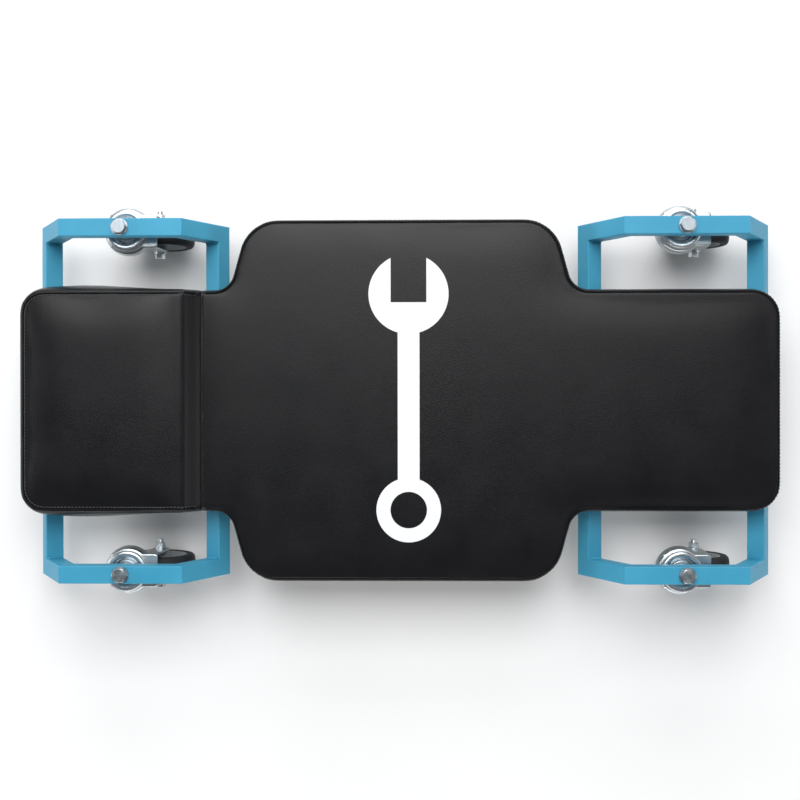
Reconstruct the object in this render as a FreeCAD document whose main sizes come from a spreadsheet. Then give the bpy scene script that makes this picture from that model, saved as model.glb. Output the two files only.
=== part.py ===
import FreeCAD, Part
import os
import Sketcher

# Low mechanics creeper: a padded board on a welded square-tube frame with four swivel casters.
# Frame of the model: X runs from head end (-) to foot end (+), Y to the user's left, Z up.
# The origin is on the floor under the middle of the pad. All sizes are millimetres and degrees.

doc = FreeCAD.newDocument("Creeper")

# ---------------------------------------------------------------- driving dimensions
SIZES = [
    # frame
    ("tube_side", 25.0, "side of the square frame tube"),
    ("tube_wall", 2.0, "wall of the square frame tube"),
    ("tube_rounding", 1.5, "rounding of the long outer edges of all frame tubes"),
    ("end_inset", 3.75, "mean distance of the frame's ends inside the ends of the pad"),
    ("wheel_side_clearance", 1.0, "swinging wheel to the edge of the pad's neck"),
    ("wheel_end_clearance", 21.3, "swinging wheel to the cross tubes of its loop"),
    ("leg_angle", 60.0, "slope of the legs above the horizontal"),
    ("frame_rise", 91.5, "low outer corner of a cross tube up to the top of the caster rails"),
    ("frame_shift", 2.5, "frame middle ahead of the pad middle, towards the foot end"),
    ("side_tube_width", 40.0, "width of the two flat tubes that join the end loops"),
    ("side_tube_height", 20.0, "height of the two flat tubes"),
    ("side_tube_wall", 2.0, "wall of the two flat tubes"),
    ("hem_spacer_gap", 23.0, "turned-in hem to the spacers on the flat tubes and tabs"),
    ("tab_margin", 1.0, "free end of a pad tab beyond its spacer"),
    ("tab_width", 40.0, "pad tab across the frame"),
    ("tab_thickness", 3.0, "pad tab sheet"),
    ("tab_hole_reach", 28.0, "ridge of the cross tube to the screw hole of its tab"),
    # pad
    ("pad_half_length", 540.5, "middle of the pad to its head or foot edge"),
    ("wide_half_width", 259.5, "half width of the pad under the shoulders"),
    ("neck_half_width", 159.0, "half width of the pad's head and foot ends"),
    ("shoulder_gap", 9.35, "foot of the shoulder line to the low corner of the inner cross tube"),
    ("shoulder_angle", 15.3, "lean of the shoulder line away from the cross direction"),
    ("shoulder_radius", 55.0, "rounding of the wide corners"),
    ("hollow_radius", 25.0, "rounding of the inner corners between shoulder and neck"),
    ("foot_radius", 42.0, "rounding of the foot end corners"),
    ("head_radius", 36.0, "rounding of the head end corners"),
    ("board_thickness", 10.0, "plywood"),
    ("foam_thickness", 27.0, "body foam"),
    ("headrest_rise", 25.0, "headrest foam above the body foam"),
    ("seam_setback", 39.0, "foot of the shoulder line to the cross seam of the headrest"),
    ("headrest_ramp", 27.0, "length of the ramp down to the cross seam"),
    ("cover_thickness", 1.0, "vinyl cover"),
    ("hem_width", 25.0, "cover turned in under the board"),
    ("foam_round", 9.0, "rounding of the foam's upper edges"),
    # pad fastening
    ("spacer_height", 2.0, "rubber washer between frame and board"),
    ("spacer_radius", 11.0, "rubber washer"),
    ("screw_end_distance", 89.35, "end of a flat tube to its nearest screw"),
    ("screw_radius", 3.0, "M6 shank"),
    ("screw_end_gap", 2.0, "end of a screw below the top of the board"),
    ("screw_head_radius", 5.5, "pan head"),
    ("screw_head_height", 4.0, "pan head"),
    ("screw_hole_play", 0.3, "radial play of the screws in the frame and the spacers"),
    ("driver_hole_radius", 7.0, "hole in the lower wall of a flat tube for the screwdriver"),
    ("tee_flange_radius", 9.5, "tee nut flange"),
    ("tee_flange_height", 1.5, "tee nut flange, let into the top of the board"),
    ("tee_barrel_radius", 4.0, "tee nut barrel"),
    ("tee_barrel_gap", 1.5, "end of a tee nut's barrel above the underside of the board"),
    ("thread_play", 0.05, "radial gap that stands for a screw thread"),
    # caster: swivel
    ("bolt_radius", 6.0, "M12 caster bolt"),
    ("bolt_tail", 0.8, "M12 caster bolt past its nut"),
    ("bolt_flats", 19.0, "M12 across flats"),
    ("bolt_head_height", 7.5, "M12 head"),
    ("bolt_play", 0.15, "radial play of the bolt in the caster's sleeve"),
    ("rail_hole_play", 0.5, "radial play of the bolt in the rail and its washer"),
    ("washer_radius", 12.0, "washer under the M12 head"),
    ("washer_height", 2.5, "washer under the M12 head"),
    ("nut_height", 7.0, "M12 nut under the caster"),
    ("nut_clearance", 1.55, "tyre to the corners of the M12 nut"),
    ("sleeve_radius", 9.0, "outside of the hollow kingpin"),
    ("race_lip", 2.0, "lower race on the kingpin beyond its balls"),
    ("sleeve_flange_height", 2.5, "lower race on the kingpin"),
    ("cup_sheet", 2.0, "pressed steel of the top cup"),
    ("cup_boss_land", 3.5, "flat middle of the top cup, against the rail, around the kingpin"),
    ("cup_groove_floor", 3.25, "flat floor of the groove around the boss of the top cup"),
    ("cup_rail_gap", 6.4, "rim of the top cup to the underside of the rail"),
    ("crown_overhang", 3.75, "fork crown beyond the skirt of the top cup"),
    ("crown_hole_play", 1.5, "hole in the fork crown around the kingpin"),
    ("crown_rim", 16.0, "depth of the turned-down rim of the crown"),
    ("crown_flare", 2.0, "lower edge of the crown's rim beyond its upper edge"),
    ("cup_gap", 1.2, "top cup's skirt and groove above the crown"),
    ("upper_ball", 6.5, "diameter of the load balls"),
    ("lower_ball", 4.0, "diameter of the keeper balls"),
    ("keeper_gap", 3.0, "kingpin to the keeper balls"),
    ("race_play", 0.1, "play over the balls"),
    ("race_side_play", 0.5, "load balls to the walls of their race"),
    # caster: fork, wheel and axle
    ("fork_sheet", 3.0, "pressed steel of the fork"),
    ("fork_gap", 42.0, "between the fork's cheeks"),
    ("lead", 33.5, "swivel axis to the axle"),
    ("cheek_radius", 13.0, "round end of a cheek about the axle"),
    ("wheel_radius", 51.0, "tyre"),
    ("tyre_half_width", 16.0, "tyre"),
    ("hub_rim_radius", 38.0, "outside of the hub under the tyre"),
    ("hub_end_play", 0.4, "hub boss to the cheek on each side"),
    ("hub_boss_radius", 11.0, "hub boss"),
    ("hub_web_half", 8.0, "half thickness of the hub's web"),
    ("axle_sleeve_radius", 6.0, "steel sleeve that the hub turns on"),
    ("hub_bore_play", 0.08, "radial running play of the hub on the sleeve"),
    ("axle_radius", 4.0, "M8 axle bolt"),
    ("axle_play", 0.15, "radial play of the axle bolt in the cheeks and the sleeve"),
    ("axle_flats", 13.0, "M8 across flats"),
    ("axle_flange_radius", 9.0, "flange of the axle bolt and its nut"),
    ("axle_flange_height", 2.0, "flange of the axle bolt and its nut"),
    ("axle_hex_height", 7.0, "hexagon of the axle bolt and its nut"),
    ("axle_tail", 5.0, "thread past the axle nut"),
]
RACE_COUNTS = {"upper": 16, "lower": 14}

dims = doc.addObject("Spreadsheet::Sheet", "Dims")
for row, (alias, size, meaning) in enumerate(SIZES, start=1):
    dims.set(f"A{row}", meaning)
    dims.set(f"B{row}", str(size))
    dims.setAlias(f"B{row}", alias)
doc.recompute()

# Levels and lengths that follow from the driving dimensions, as expressions.
NUT_CORNER = "(Dims.bolt_flats / 2 / cos(30))"
TYRE_AT_NUT = f"(Dims.wheel_radius + sqrt(Dims.wheel_radius ^ 2 - (Dims.lead - {NUT_CORNER}) ^ 2))"
NUT_LOW = f"({TYRE_AT_NUT} + Dims.nut_clearance)"
NUT_TOP = f"({NUT_LOW} + Dims.nut_height)"
RACE_LOW = f"({NUT_TOP} + Dims.sleeve_flange_height)"
CROWN_LOW = f"({RACE_LOW} + Dims.lower_ball + 2 * Dims.race_play)"
CROWN_TOP = f"({CROWN_LOW} + Dims.fork_sheet)"
CUP_RIM_LOW = f"({CROWN_TOP} + Dims.upper_ball + Dims.race_play)"
CUP_RIM_TOP = f"({CUP_RIM_LOW} + Dims.cup_sheet)"
RAIL_LOW = f"({CUP_RIM_TOP} + Dims.cup_rail_gap)"
RAIL_TOP = f"({RAIL_LOW} + Dims.tube_side)"
BOLT_LENGTH = f"({RAIL_TOP} + Dims.washer_height - {NUT_LOW} + Dims.bolt_tail)"
KEEPER_RADIUS = "(Dims.sleeve_radius + Dims.keeper_gap + Dims.lower_ball / 2)"
RACE_FLANGE = f"({KEEPER_RADIUS} + Dims.lower_ball / 2 + Dims.race_lip)"
CROWN_HOLE = "(Dims.sleeve_radius + Dims.crown_hole_play)"
CUP_BOSS = "(Dims.sleeve_radius + Dims.cup_boss_land)"
RACE_WALL = f"({CUP_BOSS} + 2 * Dims.cup_sheet + Dims.cup_groove_floor)"
LOAD_RADIUS = f"({RACE_WALL} + Dims.race_side_play + Dims.upper_ball / 2)"
CUP_RADIUS = f"({LOAD_RADIUS} + Dims.upper_ball / 2 + Dims.race_side_play + Dims.cup_sheet)"
CROWN_RADIUS = f"({CUP_RADIUS} + Dims.crown_overhang)"
FORK_HALF = "(Dims.fork_gap / 2 + Dims.fork_sheet)"
SWING = "(Dims.lead + Dims.wheel_radius)"
LOOP_INNER = f"({SWING} + Dims.wheel_end_clearance)"
RIDGE_REACH = f"({LOOP_INNER} + Dims.tube_side * sin(Dims.leg_angle))"
LOOP_HALF = f"({RIDGE_REACH} + Dims.tube_side * cos(Dims.leg_angle))"
STATION = f"(Dims.pad_half_length - Dims.end_inset - {LOOP_HALF})"
LOW_CORNER = f"({RAIL_TOP} - Dims.frame_rise)"
RIDGE = f"({LOW_CORNER} + Dims.tube_side * sin(Dims.leg_angle))"
RAIL_HALF = f"({LOOP_HALF} - Dims.frame_rise / tan(Dims.leg_angle))"
MITRE = "(Dims.tube_side * tan(Dims.leg_angle / 2))"
RAIL_MIDDLE = f"(Dims.neck_half_width + Dims.wheel_side_clearance + {SWING})"
HALF_WIDTH = f"({RAIL_MIDDLE} + Dims.tube_side / 2)"
SIDE_TUBE_Y = "(Dims.neck_half_width - Dims.hem_width - Dims.hem_spacer_gap - Dims.spacer_radius)"
SIDE_TUBE_HALF = f"({STATION} - {RIDGE_REACH})"
SCREW_PITCH = f"({SIDE_TUBE_HALF} - Dims.screw_end_distance)"
TAB_LENGTH = "(Dims.tab_hole_reach + Dims.spacer_radius + Dims.tab_margin)"
BOARD_LOW = f"({RIDGE} + Dims.spacer_height)"
BOARD_TOP = f"({BOARD_LOW} + Dims.board_thickness)"
FOAM_TOP = f"({BOARD_TOP} + Dims.foam_thickness)"
SHOULDER_FOOT = f"({STATION} - {LOOP_HALF} - Dims.shoulder_gap)"
SEAM = f"(-({SHOULDER_FOOT} + Dims.seam_setback))"
SHOULDER_RUN = "((Dims.wide_half_width - Dims.neck_half_width) / cos(Dims.shoulder_angle))"
SHOULDER_ROOM = f"(0.98 * {SHOULDER_RUN} / tan(45 - Dims.shoulder_angle / 2) - Dims.hollow_radius)"
SHOULDER_ROUND = f"min(Dims.shoulder_radius; {SHOULDER_ROOM})"
SCREW_LENGTH = (
    "(Dims.side_tube_wall + Dims.spacer_height + Dims.board_thickness - Dims.screw_end_gap)"
)

ENDS = {"head": -1, "foot": 1}
SIDES = {"left": 1, "right": -1}
POSITIONS = {"outer": 1, "inner": -1}

parts = {}


# ---------------------------------------------------------------- building tools
def number(expression):
    """Value of an expression of the sheet's cells."""
    return float(dims.evalExpression(expression))


def new_body(label):
    body = doc.addObject("PartDesign::Body", "Body")
    body.Label = label
    return body


def keep(label, shape_object):
    """Register a finished sub-part under its node name."""
    shape_object.Label = label
    parts[label] = shape_object
    return shape_object


def place(item, x="0", y="0", z="0", rotation=FreeCAD.Rotation()):
    item.Placement = FreeCAD.Placement(FreeCAD.Vector(), rotation)
    for axis, expression in (("x", x), ("y", y), ("z", z)):
        item.setExpression(f"Placement.Base.{axis}", expression)
    return item


def new_sketch(body, plane, level):
    sketch = body.newObject("Sketcher::SketchObject", "Sketch")
    origin = [item for item in body.Origin.OriginFeatures if item.Role == plane + "_Plane"][0]
    sketch.AttachmentSupport = [(origin, "")]
    sketch.MapMode = "FlatFace"
    sketch.setExpression("AttachmentOffset.Base.z", level)
    return sketch


def tie_point(sketch, geometry, position, u, v):
    """Hold one point of the sketch at the distances u, v from the sketch's origin."""
    for kind, expression in (("DistanceX", u), ("DistanceY", v)):
        constraint = Sketcher.Constraint(kind, -1, 1, geometry, position, number(expression))
        index = sketch.addConstraint(constraint)
        sketch.setExpression(f"Constraints[{index}]", expression)


def polygon(body, plane, points, level="0"):
    """Closed sketch through points given as pairs of expressions."""
    sketch = new_sketch(body, plane, level)
    corners = [FreeCAD.Vector(number(u), number(v), 0) for u, v in points]
    count = len(corners)
    for i in range(count):
        sketch.addGeometry(Part.LineSegment(corners[i], corners[(i + 1) % count]), False)
    for i in range(count):
        sketch.addConstraint(Sketcher.Constraint("Coincident", i, 2, (i + 1) % count, 1))
    for i, (u, v) in enumerate(points):
        tie_point(sketch, i, 1, u, v)
    return sketch


def circles(body, plane, centres, radius, level="0"):
    """Sketch of equal circles about centres given as pairs of expressions."""
    sketch = new_sketch(body, plane, level)
    upright = FreeCAD.Vector(0, 0, 1)
    for i, (u, v) in enumerate(centres):
        middle = FreeCAD.Vector(number(u), number(v), 0)
        sketch.addGeometry(Part.Circle(middle, upright, number(radius)), False)
        tie_point(sketch, i, 3, u, v)
        index = sketch.addConstraint(Sketcher.Constraint("Radius", i, number(radius)))
        sketch.setExpression(f"Constraints[{index}]", radius)
    return sketch


def extrude(body, kind, sketch, length, both_ways=False, reverse=False):
    """Pad or Pocket from a sketch, to one side of it or half to each side."""
    feature = body.newObject("PartDesign::" + kind, kind)
    feature.Profile = sketch
    feature.SideType = "Symmetric" if both_ways else "One side"
    feature.Reversed = reverse
    feature.setExpression("Length", length)
    return feature


def revolve(body, sketch):
    feature = body.newObject("PartDesign::Revolution", "Revolution")
    feature.Profile = sketch
    feature.ReferenceAxis = (sketch, ["V_Axis"])
    feature.Angle = 360
    return feature


def turned(label, profile):
    """Body turned about Z from a closed profile of radius and height."""
    body = new_body(label)
    revolve(body, polygon(body, "XZ", profile))
    return body


def round_edges(body, wanted, radius):
    """Fillet the edges of the body's last feature for which wanted(edge) holds."""
    doc.recompute()
    base = body.Tip
    names = [f"Edge{i}" for i, edge in enumerate(base.Shape.Edges, start=1) if wanted(edge)]
    fillet = body.newObject("PartDesign::Fillet", "Fillet")
    fillet.Base = (base, names)
    fillet.setExpression("Radius", radius)
    return fillet


def round_long_edges(body, axis):
    """Round the outer edges of a tube that run along its own axis, before it is cut or hollowed."""

    def wanted(edge):
        box = edge.BoundBox
        lengths = {"X": box.XLength, "Y": box.YLength, "Z": box.ZLength}
        return all(length < 0.01 for name, length in lengths.items() if name != axis)

    return round_edges(body, wanted, "Dims.tube_rounding")


def round_corner(body, x, y, radius):
    """Round the upright edges at x on both sides of the middle plane."""
    corner_x, corner_y = number(x), number(y)

    def wanted(edge):
        box = edge.BoundBox
        same_place = abs(box.XMin - corner_x) < 0.01 and abs(abs(box.YMin) - corner_y) < 0.01
        return same_place and box.XLength + box.YLength < 0.01

    return round_edges(body, wanted, radius)


def cylinder(radius, height, x="0", y="0", z="0"):
    item = doc.addObject("Part::Cylinder", "Cylinder")
    item.setExpression("Radius", radius)
    item.setExpression("Height", height)
    return place(item, x, y, z)


def fuse(items):
    item = doc.addObject("Part::MultiFuse", "Fuse")
    item.Shapes = items
    return item


def cut(base, tool):
    item = doc.addObject("Part::Cut", "Cut")
    item.Base = base
    item.Tool = tool
    return item


def group(label, items):
    """Separate solids that share one node."""
    item = doc.addObject("Part::Compound", "Group")
    item.Links = items
    return keep(label, item)


def hexagon(flats, height, level, outward):
    """Hexagon prism from level upwards, its corners chamfered on the outward face."""
    prism = doc.addObject("Part::Prism", "Prism")
    prism.Polygon = 6
    prism.setExpression("Circumradius", f"{flats} / 2 / cos(30)")
    prism.setExpression("Height", height)
    place(prism, z=level)
    cone = doc.addObject("Part::Cone", "Cone")
    narrow = f"{flats} / 2 * 0.97"
    wide = f"{narrow} + {height} / tan(30)"
    cone.setExpression("Radius1", wide if outward > 0 else narrow)
    cone.setExpression("Radius2", narrow if outward > 0 else wide)
    cone.setExpression("Height", height)
    place(cone, z=level)
    common = doc.addObject("Part::MultiCommon", "Hexagon")
    common.Shapes = [prism, cone]
    return common


# ---------------------------------------------------------------- frame
def slope_rotation(position):
    """Turns a tube's own X up the leg slope, towards the middle of its loop."""
    lean = FreeCAD.Rotation(FreeCAD.Vector(0, 1, 0), -number("Dims.leg_angle"))
    half_turn = FreeCAD.Rotation(FreeCAD.Vector(0, 0, 1), 180 if position > 0 else 0)
    return half_turn.multiply(lean)


def loop_middle(end):
    return f"(Dims.frame_shift + {end} * {STATION})"


def low_corner_x(end, direction):
    return f"{loop_middle(end)} + {direction} * {LOOP_HALF}"


def cross_tube(label, end, direction):
    """Full-width tube, its ends mitred at 45 degrees to meet the legs in one sloping plane."""
    body = new_body(label)
    half = HALF_WIDTH
    side = "Dims.tube_side"
    wall = "Dims.tube_wall"
    outside = [
        ("0", f"-{half}"),
        ("0", half),
        (side, f"{half} - {side}"),
        (side, f"-({half} - {side})"),
    ]
    extrude(body, "Pad", polygon(body, "XY", outside), side, reverse=True)
    round_long_edges(body, "Y")
    inside = [
        (wall, f"-({half} - {wall})"),
        (wall, f"{half} - {wall}"),
        (f"{side} - {wall}", f"{half} - {side} + {wall}"),
        (f"{side} - {wall}", f"-({half} - {side} + {wall})"),
    ]
    hollow = polygon(body, "XY", inside, f"-{wall}")
    extrude(body, "Pocket", hollow, f"{side} - 2 * {wall}")
    place(body, low_corner_x(end, direction), "0", LOW_CORNER, slope_rotation(direction))
    return keep(label, body)


def leg(label, end, direction, side):
    """Sloping tube from the end of a cross tube up to the caster rail, mitred at both ends."""
    body = new_body(label)
    width = "Dims.tube_side"
    wall = "Dims.tube_wall"
    length = "Dims.frame_rise / sin(Dims.leg_angle)"
    outside = [
        ("0", "0"),
        (length, "0"),
        (f"{length} - {MITRE}", f"-{width}"),
        ("0", f"-{width}"),
    ]
    extrude(body, "Pad", polygon(body, "XZ", outside), width, both_ways=True)
    round_long_edges(body, "X")
    toward = -direction * side
    foot_mitre = [
        ("0", f"{-toward} * {width} / 2"),
        ("0", f"{toward} * {width} / 2"),
        (width, f"{-toward} * {width} / 2"),
    ]
    extrude(body, "Pocket", polygon(body, "XY", foot_mitre), width)
    inside = [
        (f"-{width}", f"-{wall}"),
        (f"{length} + {width}", f"-{wall}"),
        (f"{length} + {width}", f"{wall} - {width}"),
        (f"-{width}", f"{wall} - {width}"),
    ]
    hollow = polygon(body, "XZ", inside)
    extrude(body, "Pocket", hollow, f"{width} - 2 * {wall}", both_ways=True)
    x = low_corner_x(end, direction)
    return place(body, x, f"{side} * {RAIL_MIDDLE}", LOW_CORNER, slope_rotation(direction))


def caster_rail(label, end, side):
    """Level tube over a caster, mitred to its two legs and drilled for the caster bolt."""
    body = new_body(label)
    width = "Dims.tube_side"
    wall = "Dims.tube_wall"
    outside = [
        (f"-{RAIL_HALF}", "0"),
        (RAIL_HALF, "0"),
        (f"{RAIL_HALF} - {MITRE}", f"-{width}"),
        (f"{MITRE} - {RAIL_HALF}", f"-{width}"),
    ]
    extrude(body, "Pad", polygon(body, "XZ", outside), width, both_ways=True)
    round_long_edges(body, "X")
    inside = [
        (f"-{RAIL_HALF}", f"-{wall}"),
        (RAIL_HALF, f"-{wall}"),
        (RAIL_HALF, f"{wall} - {width}"),
        (f"-{RAIL_HALF}", f"{wall} - {width}"),
    ]
    hollow = polygon(body, "XZ", inside)
    extrude(body, "Pocket", hollow, f"{width} - 2 * {wall}", both_ways=True)
    hole = circles(body, "XY", [("0", "0")], "Dims.bolt_radius + Dims.rail_hole_play")
    extrude(body, "Pocket", hole, width)
    place(body, loop_middle(end), f"{side} * {RAIL_MIDDLE}", RAIL_TOP)
    return keep(label, body)


def side_tube(label, side):
    """Flat tube between the two inner cross tubes, its ends cut to their sloping faces."""
    body = new_body(label)
    height = "Dims.side_tube_height"
    wall = "Dims.side_tube_wall"
    half = SIDE_TUBE_HALF
    low_half = f"({half} - {height} / tan(Dims.leg_angle))"
    outside = [(f"-{half}", "0"), (half, "0"), (low_half, f"-{height}"), (f"-{low_half}", f"-{height}")]
    extrude(body, "Pad", polygon(body, "XZ", outside), "Dims.side_tube_width", both_ways=True)
    round_long_edges(body, "X")
    inside = [
        (f"-{half}", f"-{wall}"),
        (half, f"-{wall}"),
        (half, f"{wall} - {height}"),
        (f"-{half}", f"{wall} - {height}"),
    ]
    hollow = polygon(body, "XZ", inside)
    extrude(body, "Pocket", hollow, f"Dims.side_tube_width - 2 * {wall}", both_ways=True)
    places = [(f"{step} * {SCREW_PITCH}", "0") for step in (-1, 0, 1)]
    screw_holes = circles(body, "XY", places, "Dims.screw_radius + Dims.screw_hole_play")
    extrude(body, "Pocket", screw_holes, f"{height} / 2")
    driver_holes = circles(body, "XY", places, "Dims.driver_hole_radius", f"-{height} / 2")
    extrude(body, "Pocket", driver_holes, f"{height} / 2")
    place(body, "Dims.frame_shift", f"{side} * {SIDE_TUBE_Y}", RIDGE)
    return keep(label, body)


def pad_tab(end, side):
    """Small plate welded level to the ridge of an outermost cross tube, with a screw hole."""
    body = new_body("Tab")
    thickness = "Dims.tab_thickness"
    profile = [
        ("0", "0"),
        (TAB_LENGTH, "0"),
        (TAB_LENGTH, f"-{thickness}"),
        (f"{thickness} * tan(Dims.leg_angle)", f"-{thickness}"),
    ]
    extrude(body, "Pad", polygon(body, "XZ", profile), "Dims.tab_width", both_ways=True)
    hole = circles(body, "XY", [("Dims.tab_hole_reach", "0")], "Dims.screw_radius + Dims.screw_hole_play")
    extrude(body, "Pocket", hole, thickness)
    x = f"{loop_middle(end)} + {end} * {RIDGE_REACH}"
    inward = FreeCAD.Rotation(FreeCAD.Vector(0, 0, 1), 180 if end > 0 else 0)
    return place(body, x, f"{side} * {SIDE_TUBE_Y}", RIDGE, inward)


for end_name, end in ENDS.items():
    for position_name, position in POSITIONS.items():
        cross_tube(f"{end_name}_{position_name}_cross_tube", end, end * position)
    for side_name, side in SIDES.items():
        pair = [leg("Leg", end, direction, side) for direction in (-1, 1)]
        group(f"{end_name}_{side_name}_legs", pair)
        caster_rail(f"{end_name}_{side_name}_caster_rail", end, side)
for side_name, side in SIDES.items():
    side_tube(f"{side_name}_side_tube", side)
group("pad_tabs", [pad_tab(end, side) for end in ENDS.values() for side in SIDES.values()])


# ---------------------------------------------------------------- pad
def shoulder_x(half_width, inset):
    """Where the shoulder line, moved in by inset, is half_width from the middle."""
    lean = "Dims.shoulder_angle"
    return (
        f"({SHOULDER_FOOT} + (Dims.neck_half_width - {half_width}) * tan({lean})"
        f" - {inset} / cos({lean}))"
    )


def pad_prism(label, inset, low, height, head_x):
    """Upright block on the pad's outline moved in by inset, from the foot end to head_x."""
    body = new_body(label)
    foot_x = f"(Dims.pad_half_length - {inset})"
    wide = f"(Dims.wide_half_width - {inset})"
    neck = f"(Dims.neck_half_width - {inset})"
    wide_x = shoulder_x(wide, inset)
    neck_x = shoulder_x(neck, inset)
    half = [
        (foot_x, neck),
        (neck_x, neck),
        (wide_x, wide),
        (f"-{wide_x}", wide),
        (f"-{neck_x}", neck),
        (head_x, neck),
    ]
    other_half = [(x, f"-{y}") for x, y in reversed(half)]
    extrude(body, "Pad", polygon(body, "XY", half + other_half, low), height)
    for sign in ("", "-"):
        round_corner(body, sign + wide_x, wide, f"{SHOULDER_ROUND} - {inset}")
        round_corner(body, sign + neck_x, neck, f"Dims.hollow_radius + {inset}")
    round_corner(body, foot_x, neck, f"Dims.foot_radius - {inset}")
    return body


def full_prism(label, inset, low, height):
    """Block on the whole outline, headrest end included."""
    head_x = f"(-(Dims.pad_half_length - {inset}))"
    body = pad_prism(label, inset, low, height, head_x)
    neck = f"(Dims.neck_half_width - {inset})"
    round_corner(body, head_x, neck, f"Dims.head_radius - {inset}")
    return body


def round_top(body, level, radius, seam_x):
    """Round the edges at one level, except the one along the cross seam."""
    top, seam = number(level), number(seam_x)

    def wanted(edge):
        box = edge.BoundBox
        at_top = abs(box.ZMin - top) < 0.01 and abs(box.ZMax - top) < 0.01
        at_seam = abs(box.XMin - seam) < 0.01 and abs(box.XMax - seam) < 0.01
        return at_top and not at_seam

    return round_edges(body, wanted, radius)


def body_block(label, inset, low, top, radius):
    """Body cushion shape: the outline from the cross seam to the foot end, rounded on top."""
    body = pad_prism(label, inset, low, f"{top} - {low}", SEAM)
    round_top(body, top, radius, SEAM)
    return body


def headrest_block(label, inset, low, seam_top, radius):
    """Headrest shape: a raised flat block with a ramp down to the cross seam."""
    body = new_body(label)
    end_x = f"(-(Dims.pad_half_length - {inset}))"
    neck = f"(Dims.neck_half_width - {inset})"
    top = f"({seam_top} + Dims.headrest_rise)"
    profile = [
        (end_x, low),
        (SEAM, low),
        (SEAM, seam_top),
        (f"{SEAM} - Dims.headrest_ramp", top),
        (end_x, top),
    ]
    extrude(body, "Pad", polygon(body, "XZ", profile), f"2 * {neck}", both_ways=True)
    round_corner(body, end_x, neck, f"Dims.head_radius - {inset}")
    round_top(body, top, radius, f"{SEAM} - Dims.headrest_ramp")
    return body


def cover(label, block, foam, board, hem_opening):
    """Vinyl skin: the outer block less the foam, the board and the middle of the underside."""
    return keep(label, cut(block, fuse([foam, board, hem_opening])))


SKIN = "Dims.cover_thickness"
COVER_LOW = f"({BOARD_LOW} - {SKIN})"
board_blank = full_prism("Board_blank", SKIN, BOARD_LOW, "Dims.board_thickness")
hem_opening = full_prism("Hem_opening", "Dims.hem_width", COVER_LOW, SKIN)
pad_foam = keep("pad_foam", body_block("pad_foam", SKIN, BOARD_TOP, FOAM_TOP, "Dims.foam_round"))
headrest_foam = keep(
    "headrest_foam",
    headrest_block("headrest_foam", SKIN, BOARD_TOP, FOAM_TOP, "Dims.foam_round"),
)
cover_round = f"Dims.foam_round + {SKIN}"
cover_top = f"({FOAM_TOP} + {SKIN})"
body_skin = body_block("Body_skin", "0", COVER_LOW, cover_top, cover_round)
cover("pad_cover", body_skin, pad_foam, board_blank, hem_opening)
headrest_skin = headrest_block("Headrest_skin", "0", COVER_LOW, cover_top, cover_round)
cover("headrest_cover", headrest_skin, headrest_foam, board_blank, hem_opening)

# Screws: three up through each flat tube and one through each tab. x, y and the seat of the head.
TUBE_SEAT = f"({RIDGE} - Dims.side_tube_wall)"
TAB_SEAT = f"({RIDGE} - Dims.tab_thickness)"
screws = []
for side in SIDES.values():
    y = f"{side} * {SIDE_TUBE_Y}"
    for step in (-1, 0, 1):
        screws.append((f"(Dims.frame_shift + {step} * {SCREW_PITCH})", y, TUBE_SEAT))
    for end in ENDS.values():
        x = f"({loop_middle(end)} + {end} * ({RIDGE_REACH} - Dims.tab_hole_reach))"
        screws.append((x, y, TAB_SEAT))


def pad_screw(x, y, seat):
    radius, height = "Dims.screw_head_radius", "Dims.screw_head_height"
    profile = [
        ("0", f"-{height}"),
        (f"{radius} * 0.75", f"-{height}"),
        (radius, f"-{height} * 0.6"),
        (radius, "0"),
        ("Dims.screw_radius", "0"),
        ("Dims.screw_radius", SCREW_LENGTH),
        ("0", SCREW_LENGTH),
    ]
    return place(turned("Screw", profile), x, y, seat)


def pad_spacer(x, y, seat):
    hole = "(Dims.screw_radius + Dims.screw_hole_play)"
    height = "Dims.spacer_height"
    profile = [(hole, "0"), ("Dims.spacer_radius", "0"), ("Dims.spacer_radius", height), (hole, height)]
    return place(turned("Spacer", profile), x, y, RIDGE)


def tee_nut(x, y, seat):
    bore = "(Dims.screw_radius + Dims.thread_play)"
    under = "(-Dims.tee_flange_height)"
    foot = "(Dims.tee_barrel_gap - Dims.board_thickness)"
    profile = [
        (bore, "0"),
        ("Dims.tee_flange_radius", "0"),
        ("Dims.tee_flange_radius", under),
        ("Dims.tee_barrel_radius", under),
        ("Dims.tee_barrel_radius", foot),
        (bore, foot),
    ]
    return place(turned("Tee_nut", profile), x, y, BOARD_TOP)


group("pad_screws", [pad_screw(*spot) for spot in screws])
group("pad_spacers", [pad_spacer(*spot) for spot in screws])
group("tee_nuts", [tee_nut(*spot) for spot in screws])
holes = []
for x, y, seat in screws:
    holes.append(cylinder("Dims.tee_barrel_radius", "Dims.board_thickness", x, y, BOARD_LOW))
    recess_low = f"{BOARD_TOP} - Dims.tee_flange_height"
    holes.append(cylinder("Dims.tee_flange_radius", "Dims.tee_flange_height", x, y, recess_low))
keep("pad_board", cut(board_blank, fuse(holes)))


# ---------------------------------------------------------------- caster, fixed side
def caster_bolt():
    head = hexagon("Dims.bolt_flats", "Dims.bolt_head_height", "0", 1)
    shank = cylinder("Dims.bolt_radius", BOLT_LENGTH, z=f"-{BOLT_LENGTH}")
    return fuse([head, shank])


def caster_washer():
    hole = "(Dims.bolt_radius + Dims.rail_hole_play)"
    radius, height = "Dims.washer_radius", "Dims.washer_height"
    return turned("Washer", [(hole, "0"), (radius, "0"), (radius, height), (hole, height)])


def caster_nut():
    body = hexagon("Dims.bolt_flats", "Dims.nut_height", "0", -1)
    return cut(body, cylinder("Dims.bolt_radius + Dims.thread_play", "Dims.nut_height"))


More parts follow.
